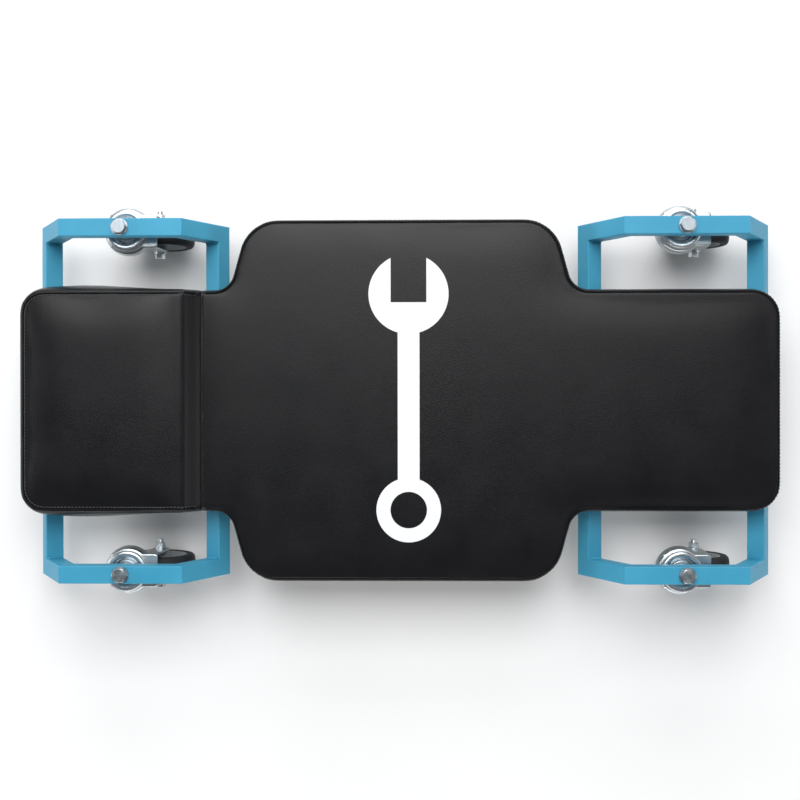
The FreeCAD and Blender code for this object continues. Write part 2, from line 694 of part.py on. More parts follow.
def kingpin():
    """Hollow kingpin, riveted into the top cup, with the lower race on its foot."""
    bore = "(Dims.bolt_radius + Dims.bolt_play)"
    profile = [
        (bore, RAIL_LOW),
        ("Dims.sleeve_radius", RAIL_LOW),
        ("Dims.sleeve_radius", RACE_LOW),
        (RACE_FLANGE, RACE_LOW),
        (RACE_FLANGE, NUT_TOP),
        (bore, NUT_TOP),
    ]
    return turned("Kingpin", profile)


def top_cup(label):
    """Pressed cup: flat boss against the rail, a sunk groove, then the race rim and its skirt."""
    top = RAIL_LOW
    sheet = "Dims.cup_sheet"
    skirt = CUP_RADIUS
    boss = CUP_BOSS
    groove_low = f"({CROWN_TOP} + Dims.cup_gap)"
    groove_top = f"({groove_low} + {sheet})"
    profile = [
        ("Dims.sleeve_radius", top),
        (boss, top),
        (f"{boss} + {sheet}", groove_top),
        (f"{RACE_WALL} - {sheet}", groove_top),
        (f"{RACE_WALL} + {sheet} / 2", CUP_RIM_TOP),
        (f"{skirt} - {sheet}", CUP_RIM_TOP),
        (skirt, CUP_RIM_LOW),
        (skirt, groove_low),
        (f"{skirt} - {sheet}", groove_low),
        (f"{skirt} - {sheet}", CUP_RIM_LOW),
        (RACE_WALL, CUP_RIM_LOW),
        (RACE_WALL, groove_low),
        (boss, groove_low),
        (f"{boss} - {sheet}", f"{top} - {sheet}"),
        ("Dims.sleeve_radius", f"{top} - {sheet}"),
    ]
    return turned(label, profile)


# ---------------------------------------------------------------- caster, swivelling side
def race_balls(label, x, y):
    """Two rings of balls: the load ring on the crown and the keeper ring under it."""
    upper_level = f"{CROWN_TOP} + Dims.upper_ball / 2"
    lower_level = f"{CROWN_LOW} - Dims.lower_ball / 2"
    rings = [
        ("upper", "Dims.upper_ball", LOAD_RADIUS, upper_level),
        ("lower", "Dims.lower_ball", KEEPER_RADIUS, lower_level),
    ]
    balls = []
    for ring, diameter, radius, level in rings:
        for i in range(RACE_COUNTS[ring]):
            angle = 360 * i / RACE_COUNTS[ring]
            ball = doc.addObject("Part::Sphere", "Ball")
            ball.setExpression("Radius", f"{diameter} / 2")
            place(ball, f"{x} + {radius} * cos({angle})", f"{y} + {radius} * sin({angle})", level)
            balls.append(ball)
    return group(label, balls)


def fork(label):
    """Round crown with a turned-down rim, and two cheeks that carry the axle behind the swivel."""
    body = new_body(label)
    sheet = "Dims.fork_sheet"
    radius = CROWN_RADIUS
    rim_low = f"({CROWN_TOP} - Dims.crown_rim)"
    crown = [
        (CROWN_HOLE, CROWN_LOW),
        (CROWN_HOLE, CROWN_TOP),
        (f"{radius} - {sheet}", CROWN_TOP),
        (radius, CROWN_LOW),
        (f"{radius} + Dims.crown_flare", rim_low),
        (f"{radius} + Dims.crown_flare - {sheet}", rim_low),
        (f"{radius} - {sheet}", CROWN_LOW),
    ]
    revolve(body, polygon(body, "XZ", crown))
    axle, end = "Dims.wheel_radius", "Dims.cheek_radius"
    front = f"(-0.8 * {radius})"
    rear = f"(Dims.lead + {end})"
    cheeks = [
        (front, CROWN_TOP),
        (f"{rear} - {sheet}", CROWN_TOP),
        (rear, f"{axle} + {end}"),
        (rear, f"{axle} - {end}"),
        (f"Dims.lead - {end}", f"{axle} - {end}"),
        (f"Dims.lead - {end}", f"{axle} + {end}"),
        (front, rim_low),
    ]
    extrude(body, "Pad", polygon(body, "XZ", cheeks), f"2 * {FORK_HALF}", both_ways=True)
    low, low_level = number(end), number(f"{axle} - {end}")

    def wanted(edge):
        box = edge.BoundBox
        return abs(box.ZMax - low_level) < 0.01 and box.YLength > low and box.XLength < 0.01

    round_edges(body, wanted, f"0.98 * {end}")
    inner_front = f"{front} + 2 * {sheet}"
    beyond = f"{rear} + {end}"
    slot = [
        (inner_front, CROWN_LOW),
        (beyond, CROWN_LOW),
        (beyond, f"{axle} - 2 * {end}"),
        (inner_front, f"{axle} - 2 * {end}"),
    ]
    extrude(body, "Pocket", polygon(body, "XZ", slot), "Dims.fork_gap", both_ways=True)
    hole = circles(body, "XY", [("0", "0")], CROWN_HOLE, CROWN_TOP)
    extrude(body, "Pocket", hole, f"2 * {sheet}")
    axle_hole = circles(body, "XZ", [("Dims.lead", axle)], "Dims.axle_radius + Dims.axle_play")
    extrude(body, "Pocket", axle_hole, f"4 * {FORK_HALF}", both_ways=True)
    return body


def axle_bolt():
    """Flanged hexagon bolt along Z, its head below the lower cheek."""
    seat = f"(-{FORK_HALF})"
    flange_low = f"({seat} - Dims.axle_flange_height)"
    head = hexagon("Dims.axle_flats", "Dims.axle_hex_height", f"{flange_low} - Dims.axle_hex_height", -1)
    flange = cylinder("Dims.axle_flange_radius", "Dims.axle_flange_height", z=flange_low)
    reach = "Dims.axle_flange_height + Dims.axle_hex_height + Dims.axle_tail"
    shank = cylinder("Dims.axle_radius", f"2 * {FORK_HALF} + {reach}", z=seat)
    return fuse([head, flange, shank])


def axle_nut():
    """Flanged hexagon nut along Z, above the upper cheek."""
    hex_low = f"{FORK_HALF} + Dims.axle_flange_height"
    hex_part = hexagon("Dims.axle_flats", "Dims.axle_hex_height", hex_low, 1)
    flange = cylinder("Dims.axle_flange_radius", "Dims.axle_flange_height", z=FORK_HALF)
    height = "Dims.axle_flange_height + Dims.axle_hex_height"
    bore = cylinder("Dims.axle_radius + Dims.thread_play", height, z=FORK_HALF)
    return cut(fuse([hex_part, flange]), bore)


def axle_sleeve(label):
    bore, radius = "(Dims.axle_radius + Dims.axle_play)", "Dims.axle_sleeve_radius"
    half = "Dims.fork_gap / 2"
    return turned(label, [(bore, f"-{half}"), (radius, f"-{half}"), (radius, half), (bore, half)])


# ---------------------------------------------------------------- caster, wheel
def wheel_hub(label):
    """Hub with a long boss, a web and a rim, the same on both faces."""
    bore = "(Dims.axle_sleeve_radius + Dims.hub_bore_play)"
    boss_half = "(Dims.fork_gap / 2 - Dims.hub_end_play)"
    rim_half = "(Dims.tyre_half_width - 1)"
    rim = "Dims.hub_rim_radius"
    half = [
        (bore, boss_half),
        ("Dims.hub_boss_radius", boss_half),
        ("Dims.hub_boss_radius + 1", "Dims.hub_web_half"),
        (f"{rim} - 6", "Dims.hub_web_half"),
        (f"{rim} - 4", rim_half),
        (rim, rim_half),
    ]
    other_half = [(r, f"-{level}") for r, level in reversed(half)]
    return turned(label, half + other_half)


def tyre(label):
    """Round-shouldered solid tyre on the hub's rim."""
    rim, radius, width = "Dims.hub_rim_radius", "Dims.wheel_radius", "Dims.tyre_half_width"
    half = [
        (rim, f"{width} - 1"),
        (f"{radius} - 6", width),
        (f"{radius} - 1.8", f"{width} - 2"),
        (radius, f"{width} - 7"),
    ]
    other_half = [(r, f"-({level})") for r, level in reversed(half)]
    return turned(label, half + other_half)


ALONG_Y = FreeCAD.Rotation(FreeCAD.Vector(1, 0, 0), -90)
fixed_groups = {
    "caster_bolts": (caster_bolt, f"{RAIL_TOP} + Dims.washer_height"),
    "caster_washers": (caster_washer, RAIL_TOP),
    "kingpins": (kingpin, "0"),
    "caster_nuts": (caster_nut, NUT_LOW),
}
swivel_axes = {
    f"{end_name}_{side_name}": (loop_middle(end), f"{side} * {RAIL_MIDDLE}")
    for end_name, end in ENDS.items()
    for side_name, side in SIDES.items()
}
for label, (build, level) in fixed_groups.items():
    group(label, [place(build(), x, y, level) for x, y in swivel_axes.values()])
for name, (x, y) in swivel_axes.items():
    keep(f"{name}_top_cup", place(top_cup("Cup"), x, y))
    race_balls(f"{name}_race_balls", x, y)
    keep(f"{name}_fork", place(fork("Fork"), x, y))
    axle_x = f"{x} + Dims.lead"
    for piece, item in (
        ("axle_bolt", axle_bolt()),
        ("axle_nut", axle_nut()),
        ("axle_sleeve", axle_sleeve("Sleeve")),
        ("wheel_hub", wheel_hub("Hub")),
        ("tyre", tyre("Tyre")),
    ):
        keep(f"{name}_{piece}", place(item, axle_x, y, "Dims.wheel_radius", ALONG_Y))

# ---------------------------------------------------------------- check and write
doc.recompute()
for item in doc.Objects:
    if any(word in state for state in item.State for word in ("Invalid", "Error")):
        raise RuntimeError(f"{item.Label} ({item.Name}) failed: {item.State}")
for label, item in parts.items():
    if item.Shape.isNull() or not item.Shape.isValid() or not item.Shape.Solids:
        raise RuntimeError(f"{label} has no valid solid")

os.makedirs("parts", exist_ok=True)
for label, item in parts.items():
    item.Shape.exportStep(f"parts/{label}.step")
print(len(parts), "sub-parts written")
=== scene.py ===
import math

import bmesh
import bpy
import numpy
from mathutils import Matrix, Vector, noise
from mathutils.bvhtree import BVHTree
from mathutils.kdtree import KDTree


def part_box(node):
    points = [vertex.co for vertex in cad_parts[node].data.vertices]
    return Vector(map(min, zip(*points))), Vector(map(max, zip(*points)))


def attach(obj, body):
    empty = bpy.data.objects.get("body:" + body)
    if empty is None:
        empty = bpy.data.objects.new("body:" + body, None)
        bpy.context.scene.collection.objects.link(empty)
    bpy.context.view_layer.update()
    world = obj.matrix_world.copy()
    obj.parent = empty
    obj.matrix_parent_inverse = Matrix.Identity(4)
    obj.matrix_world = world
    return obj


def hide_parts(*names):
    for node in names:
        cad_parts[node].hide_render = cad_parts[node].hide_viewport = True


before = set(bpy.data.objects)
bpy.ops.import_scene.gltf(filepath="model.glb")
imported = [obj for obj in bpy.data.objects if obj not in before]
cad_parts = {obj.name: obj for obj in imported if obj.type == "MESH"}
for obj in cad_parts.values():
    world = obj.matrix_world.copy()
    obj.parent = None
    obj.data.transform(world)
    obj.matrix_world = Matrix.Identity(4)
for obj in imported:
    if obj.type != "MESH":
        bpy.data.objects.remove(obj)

scene = bpy.context.scene
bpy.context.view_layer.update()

# ------------------------------------------------------------------ frame tubes
# Two drop loops at each end, welded up from mitred 25 mm square steel tube and joined under
# the pad by two flat tubes. All of it is powder-coated light blue after welding, with the
# faint orange peel and small shade drift of a sprayed coat.

grain = bpy.data.node_groups.new("Grain", "ShaderNodeTree")
for label, default in (("Fine", 900.0), ("Coarse", 9.0), ("Stretch", 1.0)):
    socket = grain.interface.new_socket(label, in_out="INPUT", socket_type="NodeSocketFloat")
    socket.default_value = default
for label in ("Height", "Cloud"):
    grain.interface.new_socket(label, in_out="OUTPUT", socket_type="NodeSocketFloat")
inside = grain.nodes.new("NodeGroupInput")
outside = grain.nodes.new("NodeGroupOutput")
place = grain.nodes.new("ShaderNodeTexCoord")
squeeze = grain.nodes.new("ShaderNodeCombineXYZ")
stretched = grain.nodes.new("ShaderNodeVectorMath")
stretched.operation = "MULTIPLY"
squeeze.inputs["Y"].default_value = 1.0
squeeze.inputs["Z"].default_value = 1.0
grain.links.new(inside.outputs["Stretch"], squeeze.inputs["X"])
grain.links.new(place.outputs["Object"], stretched.inputs[0])
grain.links.new(squeeze.outputs["Vector"], stretched.inputs[1])
for scale, result, detail in (("Fine", "Height", 3.0), ("Coarse", "Cloud", 4.0)):
    speckle = grain.nodes.new("ShaderNodeTexNoise")
    speckle.inputs["Detail"].default_value = detail
    grain.links.new(stretched.outputs["Vector"], speckle.inputs["Vector"])
    grain.links.new(inside.outputs[scale], speckle.inputs["Scale"])
    grain.links.new(speckle.outputs["Fac"], outside.inputs[result])


CLOUD_LOW, CLOUD_HIGH = 0.3, 0.7


def finish_material(name, dark, light, rough, fine, coarse, bump, metal=0.0, stretch=1.0,
                    specular=0.5):
    """Material whose shade and gloss drift with a coarse cloud over a fine raised grain."""
    material = bpy.data.materials.new(name)
    material.use_nodes = True
    tree = material.node_tree
    shader = tree.nodes["Principled BSDF"]
    shader.inputs["Metallic"].default_value = metal
    shader.inputs["Specular IOR Level"].default_value = specular
    effect = tree.nodes.new("ShaderNodeGroup")
    effect.name = "Effect"
    effect.node_tree = grain
    effect.inputs["Fine"].default_value = fine
    effect.inputs["Coarse"].default_value = coarse
    effect.inputs["Stretch"].default_value = stretch
    shade = tree.nodes.new("ShaderNodeMix")
    shade.name = "Shade"
    shade.data_type = "RGBA"
    shade.inputs[6].default_value = (*dark, 1.0)
    shade.inputs[7].default_value = (*light, 1.0)
    spread = tree.nodes.new("ShaderNodeMapRange")
    gloss = tree.nodes.new("ShaderNodeMapRange")
    for drift in (spread, gloss):
        drift.inputs["From Min"].default_value = CLOUD_LOW
        drift.inputs["From Max"].default_value = CLOUD_HIGH
    gloss.inputs["To Min"].default_value, gloss.inputs["To Max"].default_value = rough
    raised = tree.nodes.new("ShaderNodeBump")
    raised.name = "Raised"
    raised.inputs["Distance"].default_value = bump
    tree.links.new(effect.outputs["Cloud"], spread.inputs["Value"])
    tree.links.new(spread.outputs["Result"], shade.inputs[0])
    tree.links.new(effect.outputs["Cloud"], gloss.inputs["Value"])
    tree.links.new(shade.outputs[2], shader.inputs["Base Color"])
    tree.links.new(gloss.outputs["Result"], shader.inputs["Roughness"])
    tree.links.new(effect.outputs["Height"], raised.inputs["Height"])
    tree.links.new(raised.outputs["Normal"], shader.inputs["Normal"])
    return material


def dress(material, *nodes):
    """Gives a material to pieces that keep their plain shape."""
    for node in nodes:
        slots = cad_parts[node].data.materials
        slots.clear()
        slots.append(material)


powder_coat = finish_material(
    "Powder_coat", (0.037, 0.285, 0.45), (0.05, 0.325, 0.5), (0.42, 0.55),
    fine=1400.0, coarse=14.0, bump=0.00012, specular=0.35,
)
ENDS = ("head", "foot")
SIDES = ("left", "right")
tubes = [f"{end}_{place_name}_cross_tube" for end in ENDS for place_name in ("outer", "inner")]
tubes += [f"{end}_{side}_{kind}" for end in ENDS for side in SIDES
          for kind in ("legs", "caster_rail")]
tubes += [f"{side}_side_tube" for side in SIDES] + ["pad_tabs"]
dress(powder_coat, *tubes)

# ------------------------------------------------------------------ weld beads
# Rippled fillet welds, laid in the inner corners where each leg meets its cross tube and its
# caster rail, and round the ends of the flat tubes, then coated with the rest of the frame.

TUBE = 0.025
LEG_SLOPE = math.radians(60.0)
BEAD_RADIUS = 0.0021
RIPPLE_PITCH = 0.0021
RIPPLE_SWELL = 0.22
BEAD_TIP, BEAD_TAPER = 0.35, 10
WALL_INSET = 0.0008
CORNER_GAP, RAIL_GAP = 0.002, 0.003


def mesh_of(name, bm):
    """Mesh made from a bmesh, which is used up."""
    mesh = bpy.data.meshes.new(name)
    bm.to_mesh(mesh)
    bm.free()
    return mesh


def add_part(bm, part):
    """Adds one bmesh to another."""
    mesh = mesh_of("Part", part)
    bm.from_mesh(mesh)
    bpy.data.meshes.remove(mesh)


def placed(name, data):
    """Object in the scene, at the origin."""
    thing = bpy.data.objects.new(name, data)
    scene.collection.objects.link(thing)
    return thing


def weld_bead(bm, start, end):
    """Rippled bead from start to end: a closed rod whose rings swell and shrink."""
    start, end = Vector(start), Vector(end)
    length = (end - start).length
    turn = (end - start).to_track_quat("Z", "Y").to_matrix().to_4x4()
    rod = bmesh.new()
    bmesh.ops.create_cone(rod, cap_ends=True, segments=8, radius1=BEAD_RADIUS, radius2=BEAD_RADIUS,
                          depth=length)
    long_edges = [e for e in rod.edges if abs(e.verts[0].co.z - e.verts[1].co.z) > length / 2]
    ripples = max(4, round(length / RIPPLE_PITCH))
    bmesh.ops.subdivide_edges(rod, edges=long_edges, cuts=2 * ripples - 1)
    for vert in rod.verts:
        along = vert.co.z / length + 0.5
        swell = 1.0 + RIPPLE_SWELL * math.cos(2 * math.pi * ripples * along)
        swell *= min(1.0, BEAD_TIP + BEAD_TAPER * along, BEAD_TIP + BEAD_TAPER * (1 - along))
        vert.co.x *= swell
        vert.co.y *= swell
    bmesh.ops.transform(rod, matrix=Matrix.Translation((start + end) / 2) @ turn, verts=rod.verts)
    add_part(bm, rod)


def piece(name, bm, material, body, replaces=(), crease=35.0):
    """Makes a finished object of a bmesh: outward normals, smooth up to the crease angle."""
    bmesh.ops.remove_doubles(bm, verts=bm.verts, dist=1e-6)
    bmesh.ops.recalc_face_normals(bm, faces=bm.faces)
    return mesh_piece(name, mesh_of(name, bm), material, body, replaces, crease)


def mesh_piece(name, mesh, material, body, replaces=(), crease=35.0):
    """Makes a finished object of a mesh: its finish, its body and what it stands for."""
    mesh.shade_smooth()
    mesh.set_sharp_from_angle(angle=math.radians(crease))
    mesh.materials.clear()
    mesh.materials.append(material)
    thing = placed(name, mesh)
    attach(thing, body)
    if replaces:
        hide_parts(*replaces)
    return thing


welds = bmesh.new()
up_slope = Vector((math.cos(LEG_SLOPE), 0.0, math.sin(LEG_SLOPE)))
into_loop = Vector((math.sin(LEG_SLOPE), 0.0, -math.cos(LEG_SLOPE)))
mirrored = Matrix.Diagonal((-1.0, 1.0, 1.0)).to_3x3()
for end in ENDS:
    rail_low, rail_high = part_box(f"{end}_left_caster_rail")
    loop_x = (rail_low.x + rail_high.x) / 2
    rail_half = (rail_high.x - rail_low.x) / 2
    inner_y = rail_low.y
    low_z = min(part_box(f"{end}_{spot}_cross_tube")[0].z for spot in ("outer", "inner"))
    reach = max(abs(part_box(f"{end}_{spot}_cross_tube")[k].x - loop_x)
                for spot in ("outer", "inner") for k in (0, 1))
    corner = Vector((-reach, 0.0, low_z + TUBE * math.cos(LEG_SLOPE)))
    for flip in (Matrix.Identity(3), mirrored):
        ridge = flip @ (corner + up_slope * (TUBE + WALL_INSET)) + Vector((loop_x, 0, 0))
        across = flip @ into_loop
        hollow = flip @ Vector((-rail_half + TUBE * math.tan(LEG_SLOPE / 2), 0, 0))
        hollow_x = loop_x + hollow.x
        for side in (1, -1):
            at_side = Vector((0, side * (inner_y - WALL_INSET), 0))
            weld_bead(welds, ridge + across * CORNER_GAP + at_side,
                      ridge + across * (TUBE - CORNER_GAP) + at_side)
            under = rail_low.z - WALL_INSET
            weld_bead(welds, (hollow_x, side * (inner_y + RAIL_GAP), under),
                      (hollow_x, side * (inner_y + TUBE - RAIL_GAP), under))
for side in SIDES:
    low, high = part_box(f"{side}_side_tube")
    slant = (high.z - low.z) / math.tan(LEG_SLOPE)
    for x_low, x_high in ((low.x + slant, low.x), (high.x - slant, high.x)):
        inward = WALL_INSET if x_low > x_high else -WALL_INSET
        x_low, x_high = x_low + inward, x_high + inward
        weld_bead(welds, (x_low, low.y + CORNER_GAP, low.z), (x_low, high.y - CORNER_GAP, low.z))
        for y in (low.y, high.y):
            weld_bead(welds, (x_low, y, low.z + CORNER_GAP / 2), (x_high, y, high.z - CORNER_GAP))
piece("Frame_welds", welds, powder_coat, "creeper_frame", crease=60.0)

# ------------------------------------------------------------------ plywood board
# Ten millimetre plywood under the foam. Its pale face shows inside the turned-in hem, with
# the long figure of rotary-cut veneer, and the plies show as bands round the edge.

PLY_BANDS = 5.0
GLUE_SHADE = 0.62
plywood = finish_material(
    "Plywood", (0.36, 0.21, 0.1), (0.6, 0.42, 0.24), (0.55, 0.75),
    fine=260.0, coarse=34.0, bump=0.0002, stretch=0.06,
)
tree = plywood.node_tree
board_low, board_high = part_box("pad_board")
coordinates = tree.nodes.new("ShaderNodeTexCoord")
height = tree.nodes.new("ShaderNodeSeparateXYZ")
ply = tree.nodes.new("ShaderNodeMapRange")
ply.inputs["From Min"].default_value = board_low.z
ply.inputs["From Max"].default_value = board_high.z
ply.inputs["To Max"].default_value = PLY_BANDS * math.pi
band = tree.nodes.new("ShaderNodeMath")
band.operation = "SINE"
edge_shade = tree.nodes.new("ShaderNodeMapRange")
edge_shade.inputs["From Min"].default_value = -1.0
edge_shade.inputs["To Min"].default_value = GLUE_SHADE
glue_line = tree.nodes.new("ShaderNodeMix")
glue_line.data_type = "RGBA"
glue_line.blend_type = "MULTIPLY"
glue_line.inputs[0].default_value = 1.0
tree.links.new(coordinates.outputs["Object"], height.inputs["Vector"])
tree.links.new(height.outputs["Z"], ply.inputs["Value"])
tree.links.new(ply.outputs["Result"], band.inputs[0])
tree.links.new(band.outputs["Value"], edge_shade.inputs["Value"])
tree.links.new(tree.nodes["Shade"].outputs[2], glue_line.inputs[6])
tree.links.new(edge_shade.outputs["Result"], glue_line.inputs[7])
tree.links.new(glue_line.outputs[2], tree.nodes["Principled BSDF"].inputs["Base Color"])
dress(plywood, "pad_board")

# ------------------------------------------------------------------ cushions
# Upholstery foam on the board under black grained vinyl, sewn in two parts: the long body
# with shoulders and the raised headrest with a ramp. Each is a top panel and a side band,
# pulled tight over the foam, turned in under the board and stapled.

FOOT_ROUND, SHOULDER_ROUND, HOLLOW_ROUND, HEAD_ROUND = 0.042, 0.055, 0.025, 0.036
SHOULDER_WIDE_X, SHOULDER_NECK_X = 0.220, 0.2475
ARC_STEPS = 12
RAMP_LENGTH = 0.027
BOARD_TOP = board_high.z

# The cover is let out round the board by EASE. Its sides stand upright as far as SIDE_RISE over
# the board and then lean in by SIDE_SLOPE. Each part laps a little way under the other.
EASE = 0.0012
SIDE_RISE, SIDE_SLOPE, TOP_ROUND = 0.001, 0.0022, 0.0048
LAP, LAP_INSET, LAP_START = 0.008, 0.004, 0.001
VOXEL = 0.0053
cover_low, cover_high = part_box("pad_cover")
headrest_low, headrest_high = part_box("headrest_cover")
seam_x, head_x, foot_x = headrest_high.x, headrest_low.x - EASE, cover_high.x + EASE
neck_y, wide_y = headrest_high.y + EASE, cover_high.y + EASE
body_top, headrest_top = cover_high.z, headrest_high.z
ramp_x = seam_x - RAMP_LENGTH


def outline_face(bm, corners, z):
    """Flat face through corners of x, y and rounding radius."""
    verts = [bm.verts.new((x, y, z)) for x, y, radius in corners]
    bm.faces.new(verts)
    points = [Vector((x, y, 0)) for x, y, radius in corners]
    for i, (x, y, radius) in enumerate(corners):
        if radius:
            before = (points[i - 1] - points[i]).normalized()
            after = (points[(i + 1) % len(points)] - points[i]).normalized()
            offset = radius / math.tan(before.angle(after) / 2)
            bmesh.ops.bevel(bm, geom=[verts[i]], offset=offset, offset_type="OFFSET",
                            segments=ARC_STEPS, profile=0.5, affect="VERTICES", material=-1,
                            clamp_overlap=True)
    return bm.faces[:][0]


def body_corners():
    """Outline of the body from above: foot end, shoulders, hollows and the seam."""
    half = [(foot_x, neck_y, FOOT_ROUND), (SHOULDER_NECK_X, neck_y, HOLLOW_ROUND),
            (SHOULDER_WIDE_X, wide_y, SHOULDER_ROUND), (-SHOULDER_WIDE_X, wide_y, SHOULDER_ROUND),
            (-SHOULDER_NECK_X, neck_y, HOLLOW_ROUND), (seam_x + LAP_START, neck_y, 0),
            (seam_x - LAP, neck_y - LAP_INSET, 0)]
    return half + [(x, -y, radius) for x, y, radius in reversed(half)]


def headrest_corners():
    """Outline of the headrest from above."""
    half = [(seam_x + LAP, neck_y - LAP_INSET, 0), (seam_x - LAP_START, neck_y, 0),
            (head_x, neck_y, HEAD_ROUND)]
    return half + [(x, -y, radius) for x, y, radius in reversed(half)]


def grow(bm, face, thickness, rise):
    """Raises a face by rise while its outline moves in by thickness."""
    bmesh.ops.inset_region(bm, faces=[face], thickness=thickness, depth=rise, use_even_offset=True,
                           use_boundary=True)
    return face


def cushion_blank(corners, top):
    """The sewn cover laid over its foam before it is stretched: sides, then a rounded top."""
    bm = bmesh.new()
    face = outline_face(bm, corners, cover_low.z - EASE / 2)
    if face.normal.z < 0:
        bmesh.ops.reverse_faces(bm, faces=[face])
    face.normal_update()
    bottom = bmesh.ops.duplicate(bm, geom=[face])["geom"]
    bottom = [item for item in bottom if isinstance(item, bmesh.types.BMFace)]
    bmesh.ops.reverse_faces(bm, faces=bottom)
    upright = bmesh.ops.extrude_face_region(bm, geom=[face])["geom"]
    raised = [item for item in upright if isinstance(item, bmesh.types.BMVert)]
    rise = BOARD_TOP + SIDE_RISE - cover_low.z + EASE / 2
    bmesh.ops.translate(bm, verts=raised, vec=(0, 0, rise))
    bmesh.ops.delete(bm, geom=[face], context="FACES_ONLY")
    bmesh.ops.remove_doubles(bm, verts=bm.verts, dist=1e-6)
    lid = max(bm.faces, key=lambda f: (f.calc_center_median().z, f.calc_area()))
    grow(bm, lid, SIDE_SLOPE, top - SIDE_SLOPE - BOARD_TOP - SIDE_RISE)
    return bm, lid


def remeshed(name, bm, voxel):
    """Object of a bmesh, rebuilt in even square faces."""
    bmesh.ops.remove_doubles(bm, verts=bm.verts, dist=1e-6)
    bmesh.ops.recalc_face_normals(bm, faces=bm.faces)
    thing = placed(name, mesh_of(name, bm))
    modifier = thing.modifiers.new("Remesh", "REMESH")
    modifier.mode = "VOXEL"
    modifier.voxel_size = voxel
    bake_modifiers(thing)
    return thing


def bake_modifiers(thing):
    """Turns the result of an object's modifiers into its mesh."""
    bpy.context.view_layer.update()
    graph = bpy.context.evaluated_depsgraph_get()
    mesh = bpy.data.meshes.new_from_object(thing.evaluated_get(graph))
    thing.modifiers.clear()
    old, thing.data = thing.data, mesh
    bpy.data.meshes.remove(old)


KEPT_SHARE = 0.4


def evened(field, ends, rounds, still=()):
    """Shares a value of each point with its neighbours, so that wrinkles even out."""
    near = numpy.bincount(ends.ravel(), minlength=len(field))[:, None]
    for _ in range(rounds):
        total = numpy.zeros_like(field)
        numpy.add.at(total, ends[:, 0], field[ends[:, 1]])
        numpy.add.at(total, ends[:, 1], field[ends[:, 0]])
        field = KEPT_SHARE * field + (1.0 - KEPT_SHARE) * total / near
        if len(still):
            field[still] = 0.0
    return field


PRESSURE, BLOW_FRAMES = 4.0, 20
STRETCH, SHEAR, BEND = 15.0, 5.0, 0.5
EVENING, NORMAL_EVENING = 45, 6


def inflate(thing, cap, slack, held):
    """Blows the cover up like stretched vinyl over foam. Gives back where its points lay before.

    slack(co) is how far a side band stands out, and held(co) says which points are stapled.
    """
    rest = [v.co.copy() for v in thing.data.vertices]
    outward = numpy.array([v.normal for v in thing.data.vertices])
    pinned = thing.vertex_groups.new(name="Stapled")
    pinned.add([i for i, co in enumerate(rest) if held(co)], 1.0, "REPLACE")
    cloth = thing.modifiers.new("Cloth", "CLOTH")
    cloth.settings.use_pressure = True
    cloth.settings.uniform_pressure_force = PRESSURE
    cloth.settings.effector_weights.gravity = 0.0
    cloth.settings.vertex_group_mass = "Stapled"
    cloth.settings.tension_stiffness = STRETCH
    cloth.settings.compression_stiffness = STRETCH
    cloth.settings.shear_stiffness = SHEAR
    cloth.settings.bending_stiffness = BEND
    cloth.point_cache.frame_start, cloth.point_cache.frame_end = 1, BLOW_FRAMES
    for number in range(1, BLOW_FRAMES + 1):
        scene.frame_set(number)
    bake_modifiers(thing)
    scene.frame_set(1)
    thing.vertex_groups.clear()
    moves = numpy.array([vert.co - co for vert, co in zip(thing.data.vertices, rest)])
    lengths = numpy.maximum(1e-9, numpy.linalg.norm(moves, axis=1))
    moves *= numpy.minimum(1.0, cap / lengths)[:, None]
    still = numpy.array([held(co) for co in rest])
    ends = numpy.array([edge.vertices[:] for edge in thing.data.edges])
    moves = evened(moves, ends, EVENING, still)
    outward = evened(outward, ends, NORMAL_EVENING)
    outward /= numpy.linalg.norm(outward, axis=1)[:, None]
    lift = numpy.maximum(0.0, (moves * outward).sum(axis=1))
    lift += numpy.array([slack(co) for co in rest]) * (1.0 - numpy.abs(outward[:, 2]))
    moves = outward * lift[:, None]
    for vert, co, move in zip(thing.data.vertices, rest, moves):
        vert.co = co + Vector(move)
    return rest


def path_on_blank(corners, inset, z, spacing=0.004):
    """Evenly spaced points round the outline, moved in by inset, at height z."""
    bm = bmesh.new()
    face = outline_face(bm, corners, z)
    if inset:
        grow(bm, face, inset, 0.0)
    loop = [v.co.copy() for v in face.verts]
    bm.free()
    points = []
    count = len(loop)
    for i in range(count):
        a, b = loop[i], loop[(i + 1) % count]
        steps = max(1, round((b - a).length / spacing))
        points += [a.lerp(b, k / steps) for k in range(steps)]
    return points


NEIGHBOURS, NEAREST, WINDOW = 6, 0.001, 2


def carried(points, rest, thing):
    """Moves points with the cover from its laid shape to its stretched one, onto its skin."""
    tree = KDTree(len(rest))
    for i, co in enumerate(rest):
        tree.insert(co, i)
    tree.balance()
    skin = BVHTree.FromObject(thing, bpy.context.evaluated_depsgraph_get())
    result = []
    for point in points:
        near = tree.find_n(point, NEIGHBOURS)
        weights = [1.0 / (distance + NEAREST) for co, i, distance in near]
        moves = [thing.data.vertices[i].co - rest[i] for co, i, distance in near]
        move = sum((m * w for m, w in zip(moves, weights)), Vector()) / sum(weights)
        result.append(skin.find_nearest(point + move)[:2])
    smooth = []
    for i in range(len(result)):
        window = result[max(0, i - WINDOW):i + WINDOW + 1]
        smooth.append((sum((p for p, n in window), Vector()) / len(window),
                       sum((n for p, n in window), Vector()).normalized()))
    return smooth


def kept_run(points, keep):
    """The unbroken run of a closed line for which keep() holds."""
    first = next(i for i in range(len(points)) if keep(points[i]) and not keep(points[i - 1]))
    return [point for point in points[first:] + points[:first] if keep(point)]


